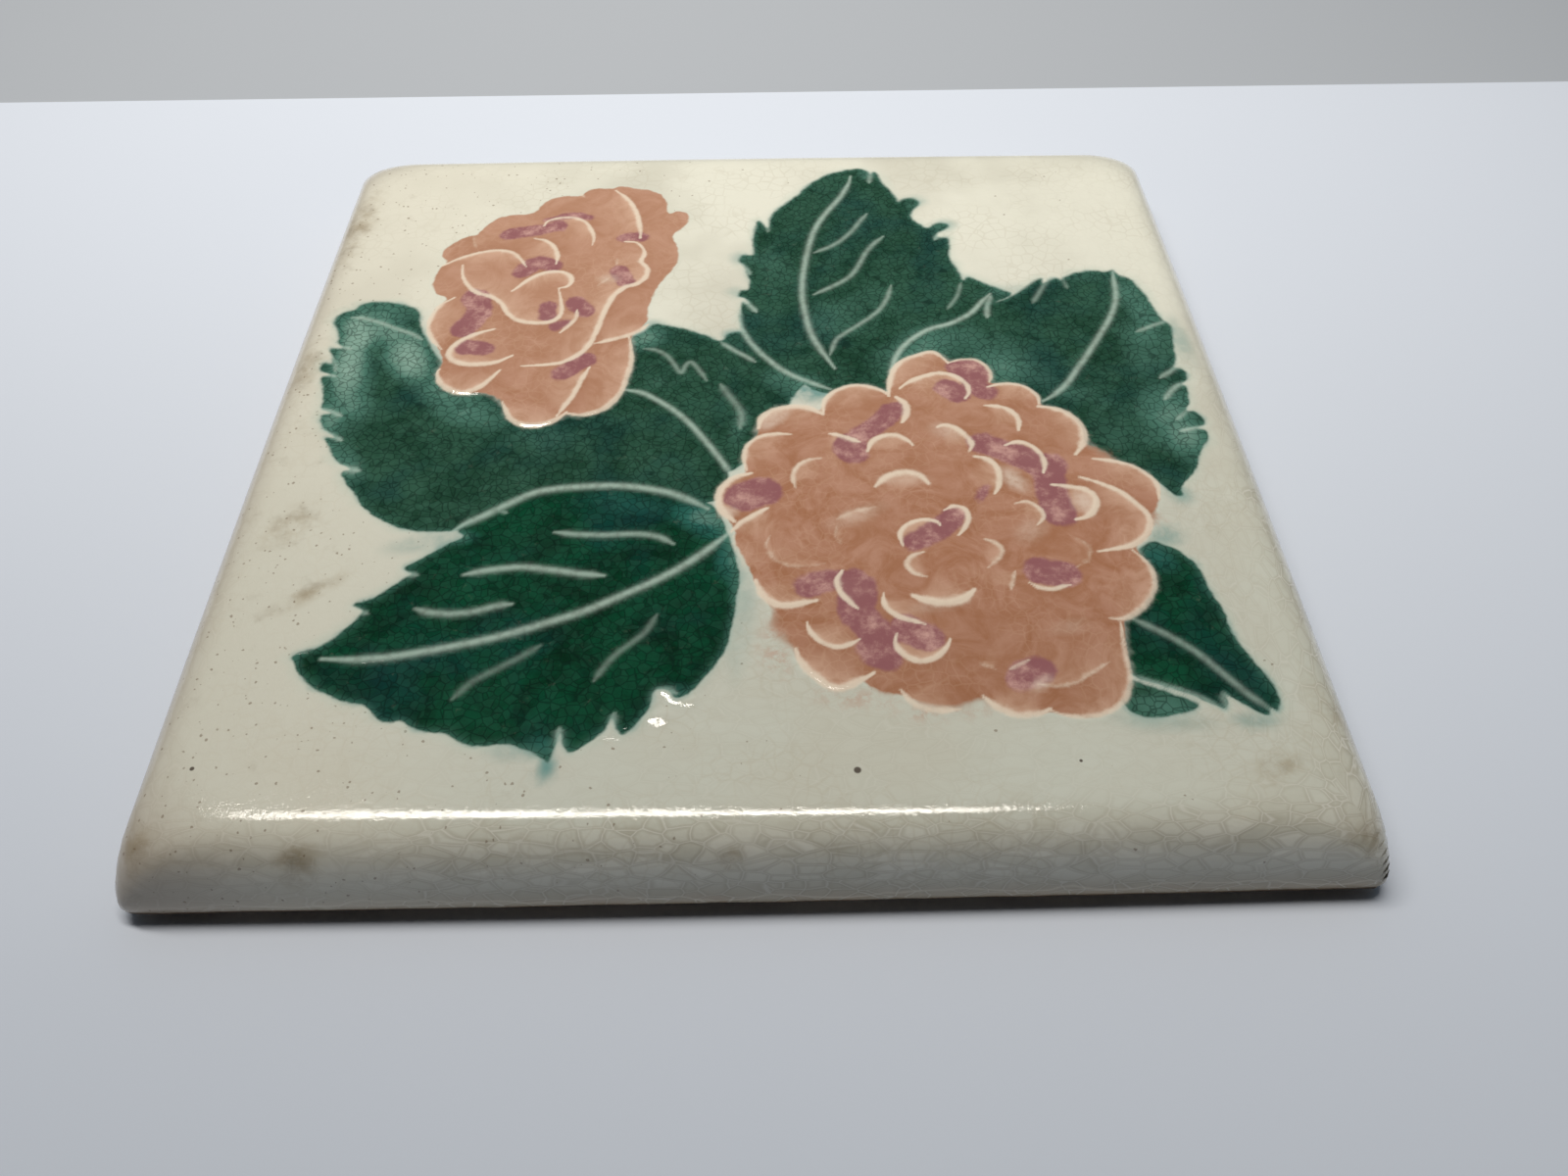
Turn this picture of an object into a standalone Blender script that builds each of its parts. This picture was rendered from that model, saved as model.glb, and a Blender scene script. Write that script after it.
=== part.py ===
"""A square floral relief tile of glazed earthenware, with a cushion edge and a keyed back.

The tile lies on its back. The origin is in the middle of its underside, +Z points up through the
glazed face, and -Y is the edge nearest the viewer. Lengths are in metres.

The relief is drawn from the face's centre in units of its own, about a millimetre each, and it
grows with the face. Leaves are sunk fields with toothed margins, and
blooms are low domes. Petal edges, veins and the edges between leaves are raised lines.
"""

import math

import bmesh
import bpy
from mathutils import Vector

MM = 0.001

# The body
TILE_SIDE = 152.4 * MM
TILE_THICKNESS = 12.7 * MM  # from the table to the plain ground of the face
SIDE_BOW = 0.35 * MM  # each side swells out by this at its middle
CUSHION_REACH = 8.4 * MM  # how far the rounding runs in from the side
CUSHION_TOP = 3.4  # 2 makes the rounding an ellipse, and more keeps its top flatter
CUSHION_SIDE = 1.45  # 2 makes the rounding an ellipse, and less makes its side lean in
CORNER_RADIUS = 1.6 * MM  # in plan, at the foot of the edge
CORNER_SOFTENING = 1.6  # how much faster the corners round off than the edge comes in
CUSHION_STEPS = 8
CORNER_STEPS = 6
SIDE_STEPS = 6

# The back, which stands on a rim and on ribs that key into the mortar
BACK_RELIEF = 1.2 * MM  # height of the rim and ribs
RIM_INSET = 4.0 * MM
RIM_WIDTH = 7.0 * MM
RIM_CORNER_RADIUS = 5.0 * MM
RIB_COUNT = 7
RIB_WIDTH = 7.0 * MM
JOIN_OVERLAP = 0.6 * MM  # how deep one shape runs into another that it is joined to

# The relief
DRAWN_WIDTH = 134.2  # width of the level face in the units of the drawing below
DRAWN_DEPTH = 136.7  # its depth, front to back, in the same units
DRAWN_SHIFT = 0.45 * MM  # how far the drawing sits behind the middle
LEAF_SINK = 0.5 * MM
SINK_STEP = 0.04 * MM  # each leaf is cut this much deeper than the one before it
BLOOM_EDGE_RISE = 0.2 * MM
BLOOM_CROWN_RISE = 0.7 * MM
VEIN_WIDTH = 1.3 * MM
VEIN_RISE = 0.12 * MM  # above the ground
PETAL_LINE_WIDTH = 1.35 * MM
PETAL_LINE_RISE = 0.4 * MM  # above the bloom
CREST_SHARE = 0.5  # width of a line's crest as a share of its foot
LINE_TIP_SHARE = 0.4  # width and rise left at a line's two ends
LINE_TAPER = 0.5  # below 1 a line reaches its full width sooner
LINE_ROOT = 0.4 * MM  # how far below the deepest leaf a line is rooted
PETAL_LINE_STEPS = 5
VEIN_STEPS = 6
TOOTH_DEPTH = 0.9 * MM
TOOTH_PITCH = 6.0 * MM
TOOTH_STEPS = 4  # steps of the margin for each tooth, whose tip is one step before the next notch
RIM_PETAL_STEPS = 4
BLOOM_RINGS = (1.0, 0.72, 0.36)  # rings of the dome, as shares of its outline

# Each leaf's left and right margins, from its base to its tip. Later leaves lie in front.
LEAVES = {
    "middle": (
        ((4, -22), (-4.5, -12.5), (-17, 3.5), (-26, 9)),
        ((4, -22), (11.5, -2), (1.5, 12.3), (-11, 20.8), (-26, 9)),
    ),
    "right": (
        ((30, -15), (22, 4), (30.5, 19.5), (44, 28.5), (61.3, 34.8)),
        ((30, -15), (47, -25), (61.5, -19), (68.3, -3), (68.2, 16), (61.3, 34.8)),
    ),
    "left": (
        ((-5, -20), (-24, -25.5), (-44, -26.3), (-58.5, -14), (-66, 6), (-66.5, 27)),
        ((-5, -20), (-9, -5.5), (-24, 11), (-45, 24), (-66.5, 27)),
    ),
    "upper": (
        ((11, 3), (1.2, 12.5), (-2, 28), (1.2, 47), (9.5, 60), (20, 67.4)),
        ((11, 3), (25, 10), (34.5, 26), (34, 44), (27.5, 59), (20, 67.4)),
    ),
    "front": (
        ((-1, -24), (-2.3, -43), (-14.5, -59), (-38, -60.3), (-58.5, -47)),
        ((-1, -24), (-11, -18.7), (-26, -17.3), (-44, -28.5), (-58.5, -47)),
    ),
    "small": (
        ((45, -54), (52, -54.5), (59, -59.8)),
        ((45, -54), (49.5, -59.4), (59, -59.8)),
    ),
    "lower": (
        ((44, -33), (53.5, -28.5), (60.5, -38), (64.3, -59)),
        ((44, -33), (46, -51), (54, -55.3), (64.3, -59)),
    ),
}

# Veins and leaf edges, each a smooth line through a few points
VEINS = (
    ((18.2, 64.5), (10.6, 45), (8.5, 28), (12.5, 8.8)),
    ((19.5, 52), (17, 46), (11.5, 40.5)),
    ((22.5, 44.5), (18.4, 35.5), (12.5, 29.5)),
    ((23.3, 30), (18.8, 20.5), (11.8, 12)),
    ((-1.5, 28), (-0.8, 17.5), (10.3, 4.8)),
    ((39.3, 27), (30.5, 20.3), (22.8, 12.5), (21.3, 3.5)),
    ((60.8, 33), (58, 18.5), (44.8, 0.2)),
    ((-65, 23.7), (-58.5, 22), (-51.6, 16)),
    ((-19.3, 4.6), (-10.2, -2.8), (-3.4, -15.6)),
    ((-16, 14), (-13, 11.7), (-11, 8.6)),
    ((-10.3, 10.8), (-8, 8.6), (-6.8, 5.6)),
    ((-5, 5.2), (-2.6, 0.8), (-1.6, -4)),
    ((-41.6, -25.4), (-31, -18.4), (-17.5, -17), (-6.2, -21.4)),
    ((-54.2, -47.5), (-40, -46), (-18, -38.4), (-2.6, -24.8)),
    ((-38.5, -33.3), (-30.5, -32.3), (-20.5, -34.2)),
    ((-26.6, -25.9), (-18.5, -26.4), (-10.8, -28.2)),
    ((-44, -39.5), (-38.5, -40.3), (-32, -38.9)),
    ((-12.5, -40.6), (-15.4, -45.4), (-19, -50)),
    ((-27, -46), (-32, -49.6), (-36.6, -53.6)),
    ((49.5, -43.4), (56.5, -49.6), (62.6, -57.4)),
    ((46.6, -52.4), (52.5, -54.5), (58.6, -58.8)),
)

# Each bloom's rim, clockwise: where a petal starts, and how far it bulges past its chord
LARGE_RIM = (
    (-2.6, -23.5, 4.0), (0.3, -15.2, 2.4), (1.3, -6.3, 2.4), (10.4, -1.9, 3.4), (20.8, 1.8, 5.5),
    (30.5, 9.4, 3.4), (36.7, 3.6, 2.6), (43.0, -0.9, 3.5), (47.3, -12.5, 5.6), (55.3, -25.3, 1.5),
    (51.5, -31.0, 3.8), (47.2, -43.2, 5.5), (35.8, -57.2, 1.8), (28.0, -55.2, 2.2),
    (17.8, -54.0, 3.2), (5.3, -47.5, 1.2), (1.5, -40.0, 0.8), (-0.5, -33.5, 1.3),
)
SMALL_RIM = (
    (-49.5, 28.3, 3.6), (-50.0, 38.0, 4.0), (-48.2, 46.0, 3.6), (-38.0, 53.6, 2.4),
    (-30.5, 57.6, 1.8), (-24.3, 61.0, 3.6), (-15.0, 51.5, 3.8), (-14.0, 45.3, 3.2),
    (-16.3, 30.8, 1.8), (-19.3, 17.3, 5.2), (-28.0, -0.8, 4.6), (-38.2, 2.0, 3.4),
    (-48.7, 11.5, 3.0),
)

# The petal edges inside each bloom: start, crown and end of an arc
LARGE_PETALS = (
    ((6.0, -18.2), (7.4, -13.6), (11.0, -12.4)), ((11.0, -7.2), (13.6, -7.5), (15.5, -9.3)),
    ((16.8, -11.2), (20.0, -7.6), (23.3, -9.6)), ((21.6, 1.0), (23.1, -2.3), (21.7, -5.8)),
    ((24.0, 4.2), (29.9, 6.4), (31.9, 0.4)), ((34.8, -1.4), (38.8, -2.7), (39.1, -7.3)),
    ((27.0, -6.0), (30.6, -7.2), (31.8, -11.4)), ((31.9, -12.2), (34.9, -15.8), (34.0, -20.4)),
    ((36.8, -10.2), (41.0, -11.4), (41.2, -16.8)), ((17.3, -18.6), (21.5, -16.0), (24.8, -18.9)),
    ((42.2, -18.6), (47.8, -21.4), (44.3, -25.5)), ((36.0, -22.2), (39.2, -22.9), (40.3, -26.1)),
    ((19.9, -28.6), (21.6, -25.8), (25.5, -26.1)), ((26.3, -23.3), (29.9, -24.4), (28.6, -27.8)),
    ((23.2, -31.2), (20.6, -33.6), (23.2, -35.8)), ((30.9, -29.1), (33.4, -31.6), (31.2, -34.5)),
    ((20.9, -39.1), (24.6, -40.8), (28.9, -38.4)), ((11.9, -34.5), (11.1, -38.0), (13.5, -40.9)),
    ((17.1, -38.9), (18.4, -42.4), (21.9, -43.5)), ((18.1, -45.5), (20.8, -50.2), (24.8, -46.6)),
    ((36.3, -37.1), (38.8, -38.6), (41.4, -38.0)), ((46.6, -17.1), (54.4, -24.6), (49.0, -30.9)),
    ((13.5, -46.0), (9.6, -47.0), (6.8, -43.0)), ((8.4, -39.5), (3.4, -40.1), (0.4, -35.5)),
)
SMALL_PETALS = (
    ((-36.8, 49.1), (-31.0, 51.2), (-27.0, 43.5)), ((-37.5, 44.5), (-34.3, 42.8), (-33.1, 37.7)),
    ((-47.8, 40.2), (-42.5, 41.4), (-37.7, 36.2)), ((-48.7, 36.7), (-46.6, 30.9), (-41.4, 26.5)),
    ((-41.2, 26.2), (-35.6, 20.6), (-32.4, 29.9)), ((-39.4, 28.9), (-34.0, 34.2), (-30.2, 30.4)),
    ((-30.7, 17.7), (-28.9, 20.6), (-28.5, 23.6)), ((-24.3, 60.6), (-20.4, 53.0), (-19.5, 44.5)),
    ((-20.0, 43.5), (-18.0, 36.5), (-21.2, 29.6)), ((-22.0, 28.6), (-24.6, 17.4), (-35.5, 10.4)),
    ((-41.4, 19.7), (-47.4, 13.4), (-38.0, 11.6)), ((-25.6, 8.5), (-26.8, 4.0), (-28.4, -0.2)),
    ((-19.8, 17.3), (-22.0, 16.2), (-24.4, 15.6)),
)

LEVEL_FACE = TILE_SIDE - 2 * CUSHION_REACH
FACE = TILE_THICKNESS
RELIEF_ROOT = FACE - LEAF_SINK - len(LEAVES) * SINK_STEP - LINE_ROOT


def drawn(point):
    """A point of the drawing as a place on the face."""
    x, y = point
    return Vector((x * LEVEL_FACE / DRAWN_WIDTH, y * LEVEL_FACE / DRAWN_DEPTH + DRAWN_SHIFT))


def material(name, colour, roughness):
    made = bpy.data.materials.new(name)
    made.use_nodes = True
    shader = made.node_tree.nodes["Principled BSDF"]
    shader.inputs["Base Color"].default_value = (*colour, 1.0)
    shader.inputs["Roughness"].default_value = roughness
    shader.inputs["Metallic"].default_value = 0.0
    return made


def add_object(name, bm, collection=None):
    """Puts a finished bmesh in the scene. A shape in a collection is a helper, which isn't shown."""
    bmesh.ops.recalc_face_normals(bm, faces=bm.faces)
    mesh = bpy.data.meshes.new(name)
    bm.to_mesh(mesh)
    bm.free()
    obj = bpy.data.objects.new(name, mesh)
    (collection or bpy.context.scene.collection).objects.link(obj)
    if collection:
        obj.hide_render = True
        obj.display_type = "WIRE"
    return obj


def loft(rings):
    """A closed solid through rings of as many points each, capped at both ends."""
    bm = bmesh.new()
    loops = []
    for points in rings:
        verts = [bm.verts.new(p) for p in points]
        loops.append([bm.edges.new((a, b)) for a, b in zip(verts, verts[1:] + verts[:1])])
    for low, high in zip(loops, loops[1:]):
        bmesh.ops.bridge_loops(bm, edges=low + high)
    for end in (loops[0], loops[-1]):
        bmesh.ops.contextual_create(bm, geom=end)
    return bm


def rounded_square(half, radius, bow, z):
    """A square outline with rounded corners and bowed sides, anticlockwise from the +X side."""
    points = []
    straight = half - radius
    for quarter in range(4):
        turn = quarter * math.pi / 2
        side = []
        for i in range(1, SIDE_STEPS):
            along = (2 * i / SIDE_STEPS - 1) * straight
            side.append((half + bow * (1 - (along / straight) ** 2), along))
        for i in range(CORNER_STEPS + 1):
            a = i / CORNER_STEPS * math.pi / 2
            side.append((straight + radius * math.cos(a), straight + radius * math.sin(a)))
        for x, y in side:
            points.append(
                (x * math.cos(turn) - y * math.sin(turn), x * math.sin(turn) + y * math.cos(turn), z)
            )
    return points


def body():
    """The slab from its underside to the ground of the face, with its cushion edge."""
    half = TILE_SIDE / 2 - SIDE_BOW
    rise = FACE - BACK_RELIEF
    rings = []
    for i in range(CUSHION_STEPS + 1):
        angle = i / CUSHION_STEPS * math.pi / 2
        inset = CUSHION_REACH * (1 - max(0.0, math.cos(angle)) ** (2 / CUSHION_TOP))
        z = BACK_RELIEF + rise * math.sin(angle) ** (2 / CUSHION_SIDE)
        radius = CORNER_RADIUS + CORNER_SOFTENING * inset
        rings.append(rounded_square(half - inset, radius, SIDE_BOW, z))
    return add_object("floral_tile", loft(rings))


def back_rim(helpers):
    """The raised slab of the back, from which the channels between the ribs are cut."""
    half = TILE_SIDE / 2 - SIDE_BOW - RIM_INSET
    rings = [
        rounded_square(half, RIM_CORNER_RADIUS, 0.0, z) for z in (0.0, BACK_RELIEF + JOIN_OVERLAP)
    ]
    add_object("back_rim", loft(rings), helpers)


def back_channels(helpers):
    """The channels, one on each side of every rib, inside the rim."""
    half = TILE_SIDE / 2 - SIDE_BOW - RIM_INSET - RIM_WIDTH
    channels = RIB_COUNT + 1
    width = (2 * half - RIB_COUNT * RIB_WIDTH) / channels
    for i in range(channels):
        start = -half + i * (width + RIB_WIDTH)
        rings = [
            [(start, -half, z), (start + width, -half, z), (start + width, half, z), (start, half, z)]
            for z in (-JOIN_OVERLAP, BACK_RELIEF)
        ]
        add_object(f"back_channel_{i + 1}", loft(rings), helpers)


def arc_through(start, crown, end, steps):
    """Points on the circle through three points, with the way across the line at each."""
    a, b, c = drawn(start), drawn(crown), drawn(end)
    turn = 2 * ((b - a).x * (c - a).y - (b - a).y * (c - a).x)
    ab, ac = (b - a).length_squared, (c - a).length_squared
    middle = a + Vector(((c - a).y * ab - (b - a).y * ac, (b - a).x * ac - (c - a).x * ab)) / turn
    first = math.atan2(*(a - middle).yx)
    sweep = (math.atan2(*(c - middle).yx) - first) % math.tau
    if turn < 0:
        sweep -= math.tau
    found = []
    for i in range(steps + 1):
        angle = first + sweep * i / steps
        across = Vector((math.cos(angle), math.sin(angle)))
        found.append((middle + across * (a - middle).length, across))
    return found


def smooth_through(points, steps):
    """Points on a smooth line through all of the given ones, with the way across it at each."""
    places = [drawn(p) for p in points]
    places = [2 * places[0] - places[1], *places, 2 * places[-1] - places[-2]]
    spans = len(places) - 3
    found = []
    for i in range(steps + 1):
        where = min(i / steps * spans, spans - 1e-9)
        n, t = int(where), where % 1
        p, q, r, s = places[n : n + 4]
        place = ((2 * q) + (r - p) * t + (2 * p - 5 * q + 4 * r - s) * t * t) / 2
        place += (3 * q - p - 3 * r + s) * t**3 / 2
        way = ((r - p) + (2 * p - 5 * q + 4 * r - s) * 2 * t) / 2
        way += (3 * q - p - 3 * r + s) * 3 * t * t / 2
        found.append((place, Vector((-way.y, way.x)).normalized()))
    return found


def leaf_margin(points, hand):
    """One margin of a leaf from base to tip, with teeth that lean towards the tip."""
    length = sum((drawn(b) - drawn(a)).length for a, b in zip(points, points[1:]))
    teeth = max(1, round(length / TOOTH_PITCH))
    course = smooth_through(points, teeth * TOOTH_STEPS)
    margin = []
    for i in range(teeth):
        notch, _ = course[i * TOOTH_STEPS]
        point, across = course[(i + 1) * TOOTH_STEPS - 1]
        margin += [notch, point + across * hand * TOOTH_DEPTH]
    return margin


def leaf_field(name, order, helpers):
    """A leaf-shaped cutter that sinks the leaf's field into the face."""
    left, right = LEAVES[name]
    outline = leaf_margin(left, 1) + [drawn(left[-1])]
    outline += reversed(leaf_margin(right, -1)[1:])
    floor = FACE - LEAF_SINK - order * SINK_STEP
    rings = [[(p.x, p.y, z) for p in outline] for z in (floor, FACE + JOIN_OVERLAP)]
    add_object(f"leaf_field_{name}", loft(rings), helpers)


def raised_line(name, course, width, rise, surface, helpers):
    """A line that stands on the face, broad at its foot, narrow at its crest and fine at its ends."""
    last = len(course) - 1
    rings = []
    for i, (place, across) in enumerate(course):
        share = LINE_TIP_SHARE + (1 - LINE_TIP_SHARE) * math.sin(math.pi * i / last) ** LINE_TAPER
        foot = across * width / 2 * share
        crest = foot * CREST_SHARE
        high = surface(place) + rise * share
        rings.append(
            [
                (*(place - foot), RELIEF_ROOT),
                (*(place - crest), high),
                (*(place + crest), high),
                (*(place + foot), RELIEF_ROOT),
            ]
        )
    add_object(name, loft(rings), helpers)


def ground(_place):
    return FACE


def rim_outline(rim):
    """A bloom's scalloped outline as arcs, one for each rim petal."""
    arcs = []
    for (x, y, bulge), (next_x, next_y, _) in zip(rim, rim[1:] + rim[:1]):
        chord = Vector((next_x - x, next_y - y))
        outward = Vector((-chord.y, chord.x)).normalized()
        crown = Vector((x, y)) + chord / 2 + outward * bulge
        arcs.append(((x, y), tuple(crown), (next_x, next_y)))
    return arcs


def dome_height(share):
    """How high a dome stands at a share of the way from its crown to its outline."""
    return FACE + BLOOM_CROWN_RISE + (BLOOM_EDGE_RISE - BLOOM_CROWN_RISE) * share**2


def dome_over(outline, middle):
    """The dome's height as a function of a place on the face."""

    def height(place):
        way = place - middle
        reach = max((p - middle).dot(way) for p in outline)
        return dome_height(min(1.0, way.length_squared / reach) if reach > 0 else 0.0)

    return height


def bloom(name, rim, petals, helpers):
    """A low scalloped dome, with raised lines round its rim and along its petals."""
    arcs = rim_outline(rim)
    outline = [p for arc in arcs for p, _ in arc_through(*arc, RIM_PETAL_STEPS)[:-1]]
    middle = sum(outline, Vector((0, 0))) / len(outline)
    rings = [[(p.x, p.y, RELIEF_ROOT) for p in outline]]
    for share in BLOOM_RINGS:
        rings.append([(*(middle + (p - middle) * share), dome_height(share)) for p in outline])
    add_object(f"{name}_dome", loft(rings), helpers)
    height = dome_over(outline, middle)
    for i, arc in enumerate(arcs + list(petals)):
        course = arc_through(*arc, PETAL_LINE_STEPS)
        label = f"{name}_petal_{i + 1}"
        raised_line(label, course, PETAL_LINE_WIDTH, PETAL_LINE_RISE, height, helpers)


def collection(name):
    made = bpy.data.collections.new(name)
    bpy.context.scene.collection.children.link(made)
    return made


def boolean(obj, operation, operands):
    modifier = obj.modifiers.new(operands.name, "BOOLEAN")
    modifier.operation = operation
    modifier.operand_type = "COLLECTION"
    modifier.collection = operands
    modifier.solver = "EXACT"


def main():
    for obj in list(bpy.data.objects):
        bpy.data.objects.remove(obj)

    tile = body()
    tile.data.materials.append(material("cream_glaze", (0.72, 0.70, 0.58), 0.12))

    rims, channels, fields, relief = map(
        collection, ("back_rims", "back_channels", "leaf_fields", "relief")
    )
    back_rim(rims)
    back_channels(channels)
    for order, name in enumerate(LEAVES):
        leaf_field(name, order, fields)
    for i, points in enumerate(VEINS):
        course = smooth_through(points, VEIN_STEPS)
        raised_line(f"vein_{i + 1}", course, VEIN_WIDTH, VEIN_RISE, ground, relief)
    bloom("large_bloom", LARGE_RIM, LARGE_PETALS, relief)
    bloom("small_bloom", SMALL_RIM, SMALL_PETALS, relief)

    boolean(tile, "UNION", rims)
    boolean(tile, "DIFFERENCE", channels)
    boolean(tile, "DIFFERENCE", fields)
    boolean(tile, "UNION", relief)


main()
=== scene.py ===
# %% [markdown]
# # A floral relief tile
#
# A moulded wall tile of fired clay. Two ruffled blooms and seven toothed leaves stand in low relief
# on a square with a cushion edge, and three coloured glazes lie over them. The fixed model holds
# the size and the main forms. This lesson makes the fine surface on top of it: one closed mesh that
# stands for the whole tile, and the glazes that colour it.
#
# Lengths in the drawing are millimetres from the middle of the face, and everything that goes into
# the scene is in metres, so MM turns the one into the other.

# %% Load the fixed model
import math

import bmesh
import bpy
import numpy as np
from mathutils import Matrix, Vector, noise


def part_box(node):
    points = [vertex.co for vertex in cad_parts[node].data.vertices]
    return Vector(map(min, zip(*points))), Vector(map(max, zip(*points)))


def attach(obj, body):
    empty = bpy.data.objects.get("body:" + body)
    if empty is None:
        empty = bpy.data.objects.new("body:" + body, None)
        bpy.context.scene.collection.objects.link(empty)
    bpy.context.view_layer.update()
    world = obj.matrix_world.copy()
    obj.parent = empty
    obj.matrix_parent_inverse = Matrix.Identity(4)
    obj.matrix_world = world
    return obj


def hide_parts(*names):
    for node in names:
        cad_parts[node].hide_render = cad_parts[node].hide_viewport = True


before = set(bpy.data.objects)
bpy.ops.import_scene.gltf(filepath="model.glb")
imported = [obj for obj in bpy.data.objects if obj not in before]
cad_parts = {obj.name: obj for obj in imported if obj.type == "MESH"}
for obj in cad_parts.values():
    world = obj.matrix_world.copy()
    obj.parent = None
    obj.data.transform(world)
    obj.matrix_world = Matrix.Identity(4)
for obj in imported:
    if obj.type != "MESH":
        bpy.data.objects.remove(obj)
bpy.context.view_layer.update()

MM = 0.001
tile_low, tile_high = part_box("floral_tile")
print("fixed model, mm:", [round(v / MM, 2) for v in (*tile_low, *tile_high)])

# %% [markdown]
# ## The tile's own sizes
#
# The fixed model was made from these sizes, so the finished tile repeats them. The edge is rounded
# like a cushion: flat on top, tight at the shoulder, and leaning in on its way down to the foot.

# %% Sizes of the body, in mm
TILE_SIDE = (tile_high.x - tile_low.x) / MM
SIDE_BOW = 0.35
CUSHION_REACH = 8.4
CUSHION_TOP = 3.4
CUSHION_SIDE = 1.45
CORNER_RADIUS = 1.6
CORNER_SOFTENING = 1.6
FOOT_HEIGHT = 1.2
FACE_HEIGHT = 12.7
HALF_SIDE = TILE_SIDE / 2 - SIDE_BOW
LEVEL_FACE = TILE_SIDE - 2 * CUSHION_REACH
print("tile", round(TILE_SIDE, 1), "mm, level face", round(LEVEL_FACE, 1), "mm")

# %% [markdown]
# ## The drawing
#
# A mould maker draws the relief as lines before cutting it: the toothed outlines of the leaves, the
# scalloped ones of the blooms, the veins and the petals' edges. They could be Bezier curve objects.
# Plain lists were chosen, because the same lines decide three things: how high the surface stands,
# where the mesh is fine, and where one glaze stops and the next begins.

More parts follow.
